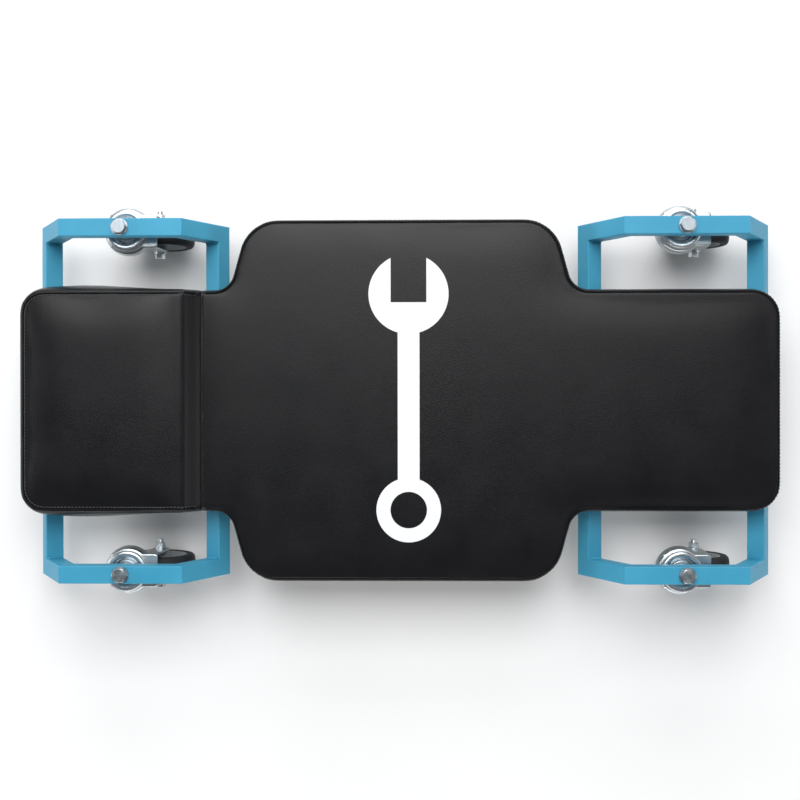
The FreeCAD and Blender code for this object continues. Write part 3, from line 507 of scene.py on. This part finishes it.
CHANNEL_DEPTH, CHANNEL_WIDTH = 0.0021, 0.0017
CHANNEL_REACH = 4 * CHANNEL_WIDTH
PUCKER_MEAN, PUCKER_RANGE, PUCKER_RATE = 0.8, 0.5, 60.0


def sew(thing, seams):
    """Sinks a channel along each seam, drawn in a little more and less from stitch to stitch."""
    track = [(p, n) for seam in seams for p, n in seam]
    tree = KDTree(len(track))
    for i, (point, normal) in enumerate(track):
        tree.insert(point, i)
    tree.balance()
    bm = bmesh.new()
    bm.from_mesh(thing.data)
    near = {v for v in bm.verts if tree.find(v.co)[2] < CHANNEL_REACH}
    edges = [e for e in bm.edges if e.verts[0] in near and e.verts[1] in near]
    bmesh.ops.subdivide_edges(bm, edges=edges, cuts=1, use_grid_fill=True)
    for vert in bm.verts:
        point, i, distance = tree.find(vert.co)
        if distance < CHANNEL_REACH:
            pucker = PUCKER_MEAN + PUCKER_RANGE * noise.noise(point * PUCKER_RATE)
            fade = math.exp(-((distance / CHANNEL_WIDTH) ** 2))
            vert.co -= track[i][1] * CHANNEL_DEPTH * pucker * fade
    bm.to_mesh(thing.data)
    bm.free()


def subdivided(thing):
    """Rounds the even square faces once more."""
    modifier = thing.modifiers.new("Subdivision", "SUBSURF")
    modifier.levels = modifier.render_levels = 1
    bake_modifiers(thing)


PEBBLE_SCALE, PEBBLE_HEIGHT = 750.0, 0.8
vinyl = finish_material(
    "Vinyl", (0.0034, 0.0035, 0.0045), (0.0052, 0.0053, 0.0064), (0.29, 0.35),
    fine=1500.0, coarse=16.0, bump=0.00013, specular=0.28,
)
tree = vinyl.node_tree
pebble = tree.nodes.new("ShaderNodeTexVoronoi")
pebble.inputs["Scale"].default_value = PEBBLE_SCALE
coordinates = tree.nodes.new("ShaderNodeTexCoord")
stacked = tree.nodes.new("ShaderNodeMath")
stacked.operation = "MULTIPLY_ADD"
stacked.inputs[1].default_value = PEBBLE_HEIGHT
tree.links.new(coordinates.outputs["Object"], pebble.inputs["Vector"])
tree.links.new(pebble.outputs["Distance"], stacked.inputs[0])
tree.links.new(tree.nodes["Effect"].outputs["Height"], stacked.inputs[2])
tree.links.new(stacked.outputs["Value"], tree.nodes["Raised"].inputs["Height"])

# A plain white spanner is printed across the pad: a handle, an open jaw and a ring.
PRINT_X, PRINT_Y = 0.011, 0.002
HANDLE_HALF, HANDLE_REACH = 0.0155, 0.140
JAW_AT, JAW_RADIUS, JAW_SLOT, JAW_ROOT = 0.150, 0.057, 0.0255, 0.138
RING_AT, RING_RADIUS, RING_HOLE = -0.158, 0.046, 0.026
INK_EDGE = 0.0003
WHITE_INK = (0.82, 0.83, 0.84, 1.0)
printed = bpy.data.node_groups.new("Spanner_print", "ShaderNodeTree")
printed.interface.new_socket("Mask", in_out="OUTPUT", socket_type="NodeSocketFloat")


def worked(operation, a, b=0.0):
    """One step of the print's arithmetic, on sockets or numbers."""
    node = printed.nodes.new("ShaderNodeMath")
    node.operation = operation
    for socket, value in zip(node.inputs, (a, b)):
        if isinstance(value, float):
            socket.default_value = value
        else:
            printed.links.new(value, socket)
    return node.outputs["Value"]


def disc(y, radius):
    """Distance outside a disc on the long axis of the print."""
    offset = worked("SUBTRACT", along, y)
    squares = worked("ADD", worked("MULTIPLY", across, across), worked("MULTIPLY", offset, offset))
    return worked("SUBTRACT", worked("SQRT", squares), radius)


spot = printed.nodes.new("ShaderNodeTexCoord")
axes = printed.nodes.new("ShaderNodeSeparateXYZ")
printed.links.new(spot.outputs["Object"], axes.inputs["Vector"])
across = worked("SUBTRACT", axes.outputs["X"], PRINT_X)
along = worked("SUBTRACT", axes.outputs["Y"], PRINT_Y)
width = worked("ABSOLUTE", across)
handle = worked("MAXIMUM", worked("SUBTRACT", width, HANDLE_HALF),
                worked("SUBTRACT", worked("ABSOLUTE", along), HANDLE_REACH))
slot = worked("MAXIMUM", worked("SUBTRACT", width, JAW_SLOT),
              worked("SUBTRACT", JAW_ROOT, along))
jaw = worked("MAXIMUM", disc(JAW_AT, JAW_RADIUS), worked("MULTIPLY", slot, -1.0))
hole = disc(RING_AT, RING_HOLE)
shape = worked("MINIMUM", worked("MINIMUM", jaw, disc(RING_AT, RING_RADIUS)), handle)
for opening in (hole, slot):
    shape = worked("MAXIMUM", shape, worked("MULTIPLY", opening, -1.0))
high = worked("GREATER_THAN", axes.outputs["Z"], BOARD_TOP)
ink = printed.nodes.new("ShaderNodeMapRange")
ink.inputs["From Min"].default_value, ink.inputs["From Max"].default_value = INK_EDGE, -INK_EDGE
printed.links.new(shape, ink.inputs["Value"])
outside = printed.nodes.new("NodeGroupOutput")
printed.links.new(worked("MULTIPLY", ink.outputs["Result"], high), outside.inputs["Mask"])
stamp = tree.nodes.new("ShaderNodeGroup")
stamp.node_tree = printed
inked = tree.nodes.new("ShaderNodeMix")
inked.data_type = "RGBA"
inked.inputs[7].default_value = WHITE_INK
tree.links.new(stamp.outputs["Mask"], inked.inputs[0])
tree.links.new(tree.nodes["Shade"].outputs[2], inked.inputs[6])
tree.links.new(inked.outputs[2], tree.nodes["Principled BSDF"].inputs["Base Color"])

STAPLED_RISE = 0.002
HEM_WIDTH, HEM_STEP, CUTTER_DROP = 0.025, 0.003, 0.004
HEM_RUN = 2.4 * HEM_WIDTH


def stapled(co):
    """Whether a point of the cover is held by the board."""
    return co.z < BOARD_TOP + STAPLED_RISE


def hem_outline(corners):
    """The outline with its seam end carried on past the seam, where the hems run through."""
    side = sum(x for x, y, radius in corners) / len(corners) - seam_x
    past = seam_x - math.copysign(HEM_RUN, side)
    return [(x if radius else past, y, radius) for x, y, radius in corners
            if radius or abs(y) > neck_y - LAP_INSET / 2]


def hem_cutter(corners):
    """Prism that opens the middle of the underside, so that the board's face shows."""
    bm = bmesh.new()
    face = outline_face(bm, hem_outline(corners), cover_low.z - CUTTER_DROP)
    grow(bm, face, HEM_WIDTH, 0.0)
    middle = bmesh.ops.duplicate(bm, geom=[face])["geom"]
    kept = {item for item in middle if isinstance(item, (bmesh.types.BMFace, bmesh.types.BMVert))}
    bmesh.ops.delete(bm, geom=[f for f in bm.faces if f not in kept], context="FACES")
    bmesh.ops.delete(bm, geom=[v for v in bm.verts if not v.link_faces], context="VERTS")
    solid = bmesh.ops.extrude_face_region(bm, geom=bm.faces[:])["geom"]
    raised = [item for item in solid if isinstance(item, bmesh.types.BMVert)]
    bmesh.ops.translate(bm, verts=raised, vec=(0, 0, CUTTER_DROP + HEM_STEP))
    bmesh.ops.recalc_face_normals(bm, faces=bm.faces)
    return placed("Cutter", mesh_of("Cutter", bm))


def opened(thing, corners):
    """Cuts the middle of the underside away, up to the hem."""
    cutter = hem_cutter(corners)
    modifier = thing.modifiers.new("Hem", "BOOLEAN")
    modifier.operation = "DIFFERENCE"
    modifier.solver = "EXACT"
    modifier.object = cutter
    bake_modifiers(thing)
    bpy.data.objects.remove(cutter)


# The cross seam lies straight across the pad, just short of its sides.
SEAM_SINK, SEAM_STOP, CROSS_STEPS = 0.0006, 0.005, 80
cross_reach = neck_y - SEAM_STOP
cross_seam = [
    (Vector((seam_x, cross_reach * (2 * i / CROSS_STEPS - 1), body_top - SEAM_SINK)),
     Vector((0, 0, 1)))
    for i in range(CROSS_STEPS + 1)
]


def upholster(name, blank, corners, cap, slack, panel_line, sewn_down, replaces):
    """Remesh, stretch, subdivide, sew and open one cushion. Gives back its panel seam too."""
    thing = remeshed(name, blank, VOXEL)
    rest = inflate(thing, cap, slack, lambda co: stapled(co) or sewn_down(co))
    seam = carried(panel_line, rest, thing)
    subdivided(thing)
    sew(thing, [seam, cross_seam])
    opened(thing, corners)
    thing.data.materials.clear()
    thing.data.materials.append(vinyl)
    thing.data.shade_smooth()
    thing.data.set_sharp_from_angle(angle=math.radians(60))
    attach(thing, "creeper_frame")
    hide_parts(*replaces)
    return thing, seam


def round_lid(bm, lid, radius, lap_x):
    """Rounds the lid's outline, except where it laps under the other cushion."""
    soft = [e for e in lid.edges if not all(abs(v.co.x - lap_x) < LAP / 2 for v in e.verts)]
    bmesh.ops.bevel(bm, geom=soft, offset=radius, offset_type="OFFSET", segments=5, profile=0.5,
                    affect="EDGES", material=-1, clamp_overlap=True)


PANEL_DROP, SEAM_CLEAR, SEAM_HELD = 0.003, 0.002, 0.003
BODY_INSET, BODY_PUFF = 0.0052, 0.0026
HEADREST_INSET, HEADREST_PUFF = 0.0075, 0.0065

blank, lid = cushion_blank(body_corners(), body_top)
round_lid(blank, lid, TOP_ROUND, seam_x - LAP)
line = path_on_blank(body_corners(), BODY_INSET, body_top - PANEL_DROP)
line = kept_run(line, lambda p: p.x > seam_x + SEAM_CLEAR)
body_cushion, body_seam = upholster(
    "Body_cushion", blank, body_corners(), BODY_PUFF, lambda co: 0.0, line,
    lambda co: co.x < seam_x + SEAM_HELD, ("pad_cover", "pad_foam"),
)

blank, lid = cushion_blank(headrest_corners(), headrest_top)
round_lid(blank, lid, TOP_ROUND, seam_x + LAP)
RAMP_STEPS, RAMP_BEND, RAMP_FOOT = 9, 0.4, 0.003


def ramp_drop(x):
    """How far the top has come down at x: a rounded brow, then an even slope to the seam."""
    share = min(1.0, max(0.0, (x - ramp_x) / (seam_x - ramp_x)))
    bent = share * share / (2 * RAMP_BEND) if share < RAMP_BEND else share - RAMP_BEND / 2
    return (headrest_top - body_top) * bent / (1.0 - RAMP_BEND / 2)


for step in range(RAMP_STEPS + 1):
    x = ramp_x + (seam_x - ramp_x) * step / RAMP_STEPS
    bmesh.ops.bisect_plane(blank, geom=blank.verts[:] + blank.edges[:] + blank.faces[:],
                           plane_co=(x, 0, 0), plane_no=(1, 0, 0), dist=1e-6)
for vert in blank.verts:
    if vert.co.z > BOARD_TOP + RAMP_FOOT and vert.co.x > ramp_x:
        full = headrest_top - BOARD_TOP
        vert.co.z = BOARD_TOP + (vert.co.z - BOARD_TOP) * (full - ramp_drop(vert.co.x)) / full
bmesh.ops.triangulate(blank, faces=blank.faces[:])
BAND_SLACK, BAND_MIDDLE, BAND_REACH = 0.0068, -0.450, 0.085


def band_slack(co):
    """The long side bands of the headrest stand out loosely in the middle."""
    rise = min(1.0, max(0.0, (co.z - BOARD_TOP) / (headrest_top - BOARD_TOP)))
    along_side = math.exp(-(((co.x - BAND_MIDDLE) / BAND_REACH) ** 2))
    return BAND_SLACK * math.sin(math.pi * rise) * along_side


line = path_on_blank(headrest_corners(), HEADREST_INSET, headrest_top - PANEL_DROP)
line = kept_run(line, lambda p: p.x < seam_x - SEAM_CLEAR)
line = [Vector((p.x, p.y, p.z - ramp_drop(p.x))) for p in line]
headrest_cushion, headrest_seam = upholster(
    "Headrest_cushion", blank, headrest_corners(), HEADREST_PUFF, band_slack, line,
    lambda co: co.x > seam_x - SEAM_HELD, ("headrest_cover", "headrest_foam"),
)

# ------------------------------------------------------------------ seams
# The top panels are sewn to the side bands over a thin cord, and the headrest panel to the
# body panel across the pad. The thread is black bonded polyester in five millimetre stitches.

CORD_RADIUS, CORD_SINK, CROSS_CORD_SINK = 0.0011, 0.0006, 0.0004
STITCH_PITCH, STITCH_HALF = 0.005, 0.0019
THREAD_RADIUS, THREAD_OFFSET, THREAD_PROUD = 0.0007, 0.0031, 0.4
CROSS_OFFSET = 0.8
# The cord is real piping, but it is coloured darker and duller than the vinyl: painted shade for
# the shadow in the sewn channel.
cord_with_painted_shade = finish_material(
    "Seam_cord_painted_shade", (0.0012, 0.0012, 0.0014), (0.0025, 0.0025, 0.0028), (0.55, 0.7), fine=2500.0,
    coarse=90.0, bump=0.0002, specular=0.15,
)
thread = finish_material(
    "Thread", (0.035, 0.035, 0.037), (0.06, 0.06, 0.063), (0.4, 0.6), fine=3000.0, coarse=120.0,
    bump=0.0002,
)


def corded(name, track, sink):
    """Thin round cord laid in a sewn channel, made a mesh."""
    curve = bpy.data.curves.new(name, "CURVE")
    curve.dimensions = "3D"
    curve.bevel_depth = CORD_RADIUS
    curve.bevel_resolution = 2
    curve.use_fill_caps = True
    spline = curve.splines.new("POLY")
    spline.points.add(len(track) - 1)
    for point, (co, normal) in zip(spline.points, track):
        point.co = (*(co - normal * sink), 1.0)
    draft = placed(name, curve)
    bpy.context.view_layer.update()
    graph = bpy.context.evaluated_depsgraph_get()
    mesh = bpy.data.meshes.new_from_object(draft.evaluated_get(graph))
    bpy.data.objects.remove(draft)
    return mesh_piece(name, mesh, cord_with_painted_shade, "creeper_frame", crease=80.0)


def stitch_row(bm, track, offset, skin):
    """Short thread stitches beside a seam, at an even pitch, laid on the skin."""
    travelled, target = 0.0, STITCH_PITCH / 2
    for (a, normal), after in zip(track, track[1:]):
        b = after[0]
        step = (b - a).length
        while target <= travelled + step:
            forward = (b - a).normalized()
            aside = normal.cross(forward).normalized()
            spot = a.lerp(b, (target - travelled) / step) + aside * offset
            spot, skin_normal = skin.find_nearest(spot)[:2]
            turn = Matrix((forward, skin_normal.cross(forward), skin_normal)).transposed().to_4x4()
            size = Matrix.Diagonal((STITCH_HALF, THREAD_RADIUS, THREAD_RADIUS, 1.0))
            bmesh.ops.create_uvsphere(
                bm, u_segments=6, v_segments=4, radius=1.0,
                matrix=Matrix.Translation(spot + skin_normal * THREAD_RADIUS * THREAD_PROUD)
                @ turn @ size)
            target += STITCH_PITCH
        travelled += step


corded("Body_seam_cord", body_seam, CORD_SINK)
corded("Headrest_seam_cord", headrest_seam, CORD_SINK)
corded("Cross_seam_cord", cross_seam, CROSS_CORD_SINK)
stitches = bmesh.new()
for cushion, seam in ((body_cushion, body_seam), (headrest_cushion, headrest_seam)):
    skin = BVHTree.FromObject(cushion, bpy.context.evaluated_depsgraph_get())
    inward = 1.0 if seam[0][1].cross(seam[1][0] - seam[0][0]).dot(-seam[0][0]) > 0 else -1.0
    stitch_row(stitches, seam, inward * THREAD_OFFSET, skin)
skin = BVHTree.FromObject(body_cushion, bpy.context.evaluated_depsgraph_get())
stitch_row(stitches, cross_seam, -THREAD_OFFSET * CROSS_OFFSET, skin)
piece("Stitches", stitches, thread, "creeper_frame", crease=80.0)

# ------------------------------------------------------------------ staples
# Zinc-plated steel wire staples, shot through the turned-in hem into the underside of the
# board. Only their backs show, lying flat on the vinyl at an even pitch.

STAPLE_HALF, STAPLE_WIRE, STAPLE_TAPER = 0.0055, 0.0006, 0.6
STAPLE_INSET, STAPLE_PITCH, STAPLE_CLEAR = 0.015, 0.032, 0.006
zinc = finish_material(
    "Zinc_plate", (0.45, 0.49, 0.52), (0.6, 0.64, 0.67), (0.22, 0.36), fine=700.0, coarse=60.0,
    bump=0.00004, metal=1.0,
)
staples = bmesh.new()
for corners, heading in ((body_corners(), 1.0), (headrest_corners(), -1.0)):
    line = path_on_blank(hem_outline(corners), STAPLE_INSET, cover_low.z - STAPLE_WIRE,
                         spacing=0.002)
    line = kept_run(line, lambda p: (p.x - seam_x) * heading > STAPLE_CLEAR)
    travelled = STAPLE_PITCH / 2
    for a, b in zip(line, line[1:]):
        travelled += (b - a).length
        if travelled >= STAPLE_PITCH:
            travelled = 0.0
            turn = (b - a).to_track_quat("Z", "Y").to_matrix().to_4x4()
            made = bmesh.ops.create_cone(
                staples, cap_ends=True, segments=6, radius1=STAPLE_WIRE, radius2=STAPLE_WIRE,
                depth=2 * STAPLE_HALF, matrix=Matrix.Translation(a) @ turn)["verts"]
            caps = {f for v in made for f in v.link_faces if len(f.verts) == 6}
            for cap in caps:
                bmesh.ops.scale(staples, vec=(STAPLE_TAPER,) * 3, verts=cap.verts,
                                space=Matrix.Translation(-cap.calc_center_median()))
piece("Hem_staples", staples, zinc, "creeper_frame", crease=50.0)

# ------------------------------------------------------------------ pad fasteners
# Zinc-plated M6 pan-head screws up through the flat tubes and tabs into tee nuts in the
# board, with a black rubber washer between steel and wood at each.

rubber = finish_material(
    "Rubber", (0.012, 0.012, 0.013), (0.022, 0.022, 0.023), (0.55, 0.75), fine=900.0, coarse=40.0,
    bump=0.0002, specular=0.35,
)
dress(zinc, "pad_screws", "tee_nuts")
dress(rubber, "pad_spacers")

# ------------------------------------------------------------------ caster bolts
# M12 hexagon bolts with washers, down through rail, cup and hollow kingpin into a nut under
# the fork. Zinc-plated steel, the heads duller than the pressings. The bolts clamp the cups.

bolt_zinc = finish_material(
    "Bolt_zinc", (0.27, 0.31, 0.34), (0.4, 0.45, 0.48), (0.3, 0.46), fine=1200.0, coarse=150.0,
    bump=0.00012, metal=1.0,
)
dress(bolt_zinc, "caster_bolts", "caster_washers")
dress(zinc, "caster_nuts", "kingpins")
casters = {}
for end in ENDS:
    for side in SIDES:
        low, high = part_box(f"{end}_{side}_top_cup")
        hub_low, hub_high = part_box(f"{end}_{side}_wheel_hub")
        casters[f"{end}_{side}"] = (
            Vector(((low.x + high.x) / 2, (low.y + high.y) / 2, 0.0)), (hub_low + hub_high) / 2)


def turned(bm, profile, steps=96):
    """Closed ring spun about Z from a closed profile of radius and height in millimetres."""
    verts = [bm.verts.new((radius / 1000, 0.0, level / 1000)) for radius, level in profile]
    edges = [bm.edges.new((verts[i - 1], verts[i])) for i in range(len(verts))]
    bmesh.ops.spin(bm, geom=verts + edges, axis=(0, 0, 1), cent=(0, 0, 0), dvec=(0, 0, 0),
                   angle=2 * math.pi, steps=steps, use_merge=True)
    bmesh.ops.remove_doubles(bm, verts=bm.verts, dist=1e-6)
    bmesh.ops.recalc_face_normals(bm, faces=bm.faces)


def soften(bm, width, angle=30.0, segments=2):
    """Rounds every edge that turns by more than the angle."""
    edges = [e for e in bm.edges if len(e.link_faces) == 2
             and e.calc_face_angle(0.0) > math.radians(angle)]
    bmesh.ops.bevel(bm, geom=edges, offset=width / 1000, offset_type="OFFSET", segments=segments,
                    profile=0.5, affect="EDGES", material=-1, clamp_overlap=True)


def copies(name, bm, material, bodies, slot, nodes, axle, crease=35.0):
    """One copy of a caster piece in each place. nodes are the CAD nodes that it stands for."""
    bmesh.ops.recalc_face_normals(bm, faces=bm.faces)
    spread(name, mesh_of(name, bm), material, bodies, slot, nodes, axle, crease)


def spread(name, master, material, bodies, slot, nodes, axle, crease=35.0):
    """Sets copies of a mesh about the four kingpins or, laid on their sides, at the hubs."""
    for place_name, (pivot, hub) in casters.items():
        mesh = master.copy()
        if axle:
            mesh.transform(Matrix.Translation(hub) @ Matrix.Rotation(math.radians(-90), 4, "X"))
        else:
            mesh.transform(Matrix.Translation(pivot))
        body = bodies.format(place_name)
        mesh_piece(f"{place_name}_{name}", mesh, material, body,
                   [f"{place_name}_{node}" for node in nodes], crease)
    bpy.data.meshes.remove(master)


# ------------------------------------------------------------------ top cups
# Bright zinc-plated steel pressings, clamped to the rails: a middle boss, a sunk groove and
# the raised rim that holds the load balls, with a skirt down over the race.

cup = bmesh.new()
turned(cup, [
    (9.0, 130.0), (12.5, 130.0), (14.6, 118.2), (17.8, 118.2), (20.4, 122.6), (22.2, 123.6),
    (26.2, 123.6), (28.4, 122.8), (29.25, 120.8), (29.25, 116.2), (27.25, 116.2), (27.25, 121.6),
    (19.75, 121.6), (19.75, 116.2), (12.5, 116.2), (10.5, 128.0), (9.0, 128.0),
])
soften(cup, 0.5)
copies("cup", cup, zinc, "creeper_frame", "zinc_plate", ["top_cup"], axle=False, crease=50.0)

# ------------------------------------------------------------------ forks
# One steel stamping each: a round bell crown whose rim turns down, drawn out behind into a
# flat web with two cheeks that carry the axle. Zinc-plated, duller than the cups.

FORK_VOXEL = 0.0009
SHEET, CHEEK_INSIDE, CROWN_UNDER = 3.0, 21.0, 112.0
ROOM_HALF, ROOM_LOW, ROOM_HIGH = 20.5, 90.0, 111.9
pressed = finish_material(
    "Pressed_zinc", (0.42, 0.47, 0.49), (0.58, 0.63, 0.65), (0.26, 0.4), fine=600.0, coarse=45.0,
    bump=0.00005, metal=1.0,
)


def object_of(name, bm):
    """Object of a bmesh, with its faces outwards."""
    bmesh.ops.recalc_face_normals(bm, faces=bm.faces)
    return placed(name, mesh_of(name, bm))


def slab(bm, corners, low, high, plane=None):
    """Plate of an outline in millimetres, between two levels, turned by plane."""
    flat = bmesh.new()
    face = outline_face(flat, [(x / 1000, y / 1000, r / 1000) for x, y, r in corners], low / 1000)
    raised = bmesh.ops.extrude_face_region(flat, geom=[face])["geom"]
    raised = [item for item in raised if isinstance(item, bmesh.types.BMVert)]
    bmesh.ops.translate(flat, verts=raised, vec=(0, 0, (high - low) / 1000))
    if plane is not None:
        bmesh.ops.transform(flat, matrix=plane, verts=flat.verts)
    bmesh.ops.recalc_face_normals(flat, faces=flat.faces)
    add_part(bm, flat)


bell = bmesh.new()
turned(bell, [
    (10.5, 112.0), (10.5, 115.0), (28.0, 115.0), (31.2, 114.3), (33.0, 112.0), (34.2, 106.0),
    (35.0, 99.0), (32.1, 99.0), (31.2, 106.0), (30.0, 111.0), (28.5, 112.0),
])
bell = object_of("Bell", bell)
wheel_room = bmesh.new()
slab(wheel_room, [(4, -ROOM_HALF, 0), (50, -ROOM_HALF, 0), (50, ROOM_HALF, 0),
                  (4, ROOM_HALF, 0)], ROOM_LOW, ROOM_HIGH)
wheel_room = object_of("Wheel_room", wheel_room)
carve = bell.modifiers.new("Carve", "BOOLEAN")
carve.operation, carve.solver, carve.object = "DIFFERENCE", "FAST", wheel_room
bake_modifiers(bell)
bpy.data.objects.remove(wheel_room)
stamping = bmesh.new()
stamping.from_mesh(bell.data)
bpy.data.objects.remove(bell)
upright = Matrix.Rotation(math.radians(90), 4, "X")
cheek = [(-25, 113.5, 2), (41, 115, 5), (46.5, 68, 60), (46.5, 38, 12.9), (20.5, 38, 12.9),
         (20.5, 63, 22), (-24, 97, 5)]
for level in (CHEEK_INSIDE, -CHEEK_INSIDE - SHEET):
    slab(stamping, cheek, level, level + SHEET, upright)
slab(stamping, [(0, -23.2, 0), (43.5, -23.2, 3), (43.5, 23.2, 3), (0, 23.2, 0)],
     CROWN_UNDER, CROWN_UNDER + SHEET)
stamping = remeshed("Stamping", stamping, FORK_VOXEL)
ease = stamping.modifiers.new("Ease", "SMOOTH")
ease.factor, ease.iterations = 0.5, 5
bake_modifiers(stamping)
spread("fork_stamping", stamping.data.copy(), pressed, "{}_swivel", "zinc_plate", ["fork"],
       axle=False, crease=60.0)
bpy.data.objects.remove(stamping)

# ------------------------------------------------------------------ balls and axles
# Hardened balls in two rings, and an M8 flanged bolt and nut with a steel sleeve for each
# wheel. The end of the thread stands past the nut.

ball_steel = finish_material(
    "Ball_steel", (0.62, 0.63, 0.65), (0.74, 0.75, 0.77), (0.08, 0.16), fine=500.0, coarse=90.0,
    bump=0.00002, metal=1.0,
)
for name in casters:
    dress(ball_steel, f"{name}_race_balls")
    dress(zinc, f"{name}_axle_bolt", f"{name}_axle_nut", f"{name}_axle_sleeve")
THREAD_LOW, THREAD_PITCH, THREAD_TURNS = 33.2, 1.25, 4
threads = bmesh.new()
crests = [(3.9, THREAD_LOW)]
for i in range(THREAD_TURNS - 1):
    start = THREAD_LOW + i * THREAD_PITCH
    crests += [(4.25, start + 0.3 * THREAD_PITCH), (4.25, start + 0.5 * THREAD_PITCH),
               (4.02, start + THREAD_PITCH)]
thread_high = THREAD_LOW + (THREAD_TURNS - 1) * THREAD_PITCH
turned(threads, crests + [(3.8, thread_high), (3.8, THREAD_LOW)], steps=32)
copies("axle_thread", threads, zinc, "{}_swivel", "zinc_plate", [], axle=True, crease=25.0)

# ------------------------------------------------------------------ wheels
# Grey moulded plastic hub with a dished face and a bead ring, and a hard black rubber tyre
# moulded onto its rim, with rounded shoulders and a fine parting line.

hub_plastic = finish_material(
    "Hub_plastic", (0.23, 0.25, 0.27), (0.29, 0.31, 0.33), (0.38, 0.5), fine=800.0, coarse=30.0,
    bump=0.0001,
)
hub_half = [(6.08, 20.6), (9.6, 20.6), (11.0, 19.4), (12.2, 11.5), (14.5, 9.6), (26.0, 9.2),
            (27.6, 9.8), (28.4, 11.4), (29.6, 11.4), (30.4, 10.4), (32.0, 11.2), (34.0, 14.2),
            (38.0, 15.0)]
hub = bmesh.new()
turned(hub, hub_half + [(radius, -level) for radius, level in reversed(hub_half)])
soften(hub, 0.35)
copies("hub", hub, hub_plastic, "{}_wheel", "hub_plastic", ["wheel_hub"], axle=True)
tyre_half = [(38.0, 14.6), (40.5, 15.7), (44.5, 16.0), (47.4, 15.2), (49.4, 13.2), (50.5, 10.0),
             (50.85, 6.0), (50.88, 0.5), (51.0, 0.25)]
tyre = bmesh.new()
turned(tyre, tyre_half + [(radius, -level) for radius, level in reversed(tyre_half)], steps=128)
copies("tyre_ring", tyre, rubber, "{}_wheel", "tyre_rubber", ["tyre"], axle=True, crease=40.0)

# ------------------------------------------------------------------ studio
# A pale paper floor under soft boxes: large ones overhead and at the far side, smaller ones
# near by and at each end. The camera looks straight down from high above.

floor = bmesh.new()
bmesh.ops.create_grid(floor, x_segments=8, y_segments=8, size=4.0)
floor_object = placed("Floor", mesh_of("Floor", floor))
floor_object.data.materials.append(finish_material(
    "Floor_paper", (0.86, 0.86, 0.86), (0.9, 0.9, 0.9), (0.8, 0.9), fine=120.0, coarse=2.0,
    bump=0.0001, specular=0.2,
))

world = bpy.data.worlds.new("Studio")
scene.world = world
world.use_nodes = True
world.node_tree.nodes["Background"].inputs["Color"].default_value = (0.97, 0.98, 1.0, 1.0)
world.node_tree.nodes["Background"].inputs["Strength"].default_value = 0.22


def soft_box(name, place, aim, size, power):
    """Rectangular lamp at a place, turned to face a point."""
    light = bpy.data.lights.new(name, "AREA")
    light.shape = "RECTANGLE"
    light.size, light.size_y = size
    light.energy = power
    lamp = placed(name, light)
    lamp.location = place
    lamp.rotation_euler = (Vector(aim) - Vector(place)).to_track_quat("-Z", "Y").to_euler()


soft_box("Overhead_box", (-0.15, 1.42, 2.7), (-0.15, 0.3, 0.1), (2.7, 1.9), 80.0)
soft_box("Far_box", (0.0, 3.0, 1.5), (0.0, 0.2, 0.1), (3.2, 1.2), 48.0)
soft_box("Near_box", (0.0, -2.4, 0.75), (0.0, 0.0, 0.1), (3.2, 0.6), 34.0)
soft_box("Head_box", (-2.4, 0.2, 1.0), (-0.3, 0.0, 0.1), (1.6, 0.7), 16.0)
soft_box("Foot_box", (2.4, -0.2, 1.0), (0.3, 0.0, 0.1), (1.6, 0.7), 8.0)

CAMERA_PLACE, CAMERA_TILT = (0.02845, 0.00572, 1.7336), (0.174, -1.058, 0.072)
camera = bpy.data.cameras.new("Camera")
camera.lens = 50.82
camera.sensor_width = 36.0
camera_object = placed("Camera", camera)
roll, pitch, yaw = (math.radians(angle) for angle in CAMERA_TILT)
turn = Matrix.Rotation(yaw, 3, "Z") @ Matrix.Rotation(pitch, 3, "Y") @ Matrix.Rotation(roll, 3, "X")
camera_object.matrix_world = Matrix.Translation(CAMERA_PLACE) @ turn.transposed().to_4x4()
scene.camera = camera_object
scene.view_settings.view_transform = "Standard"
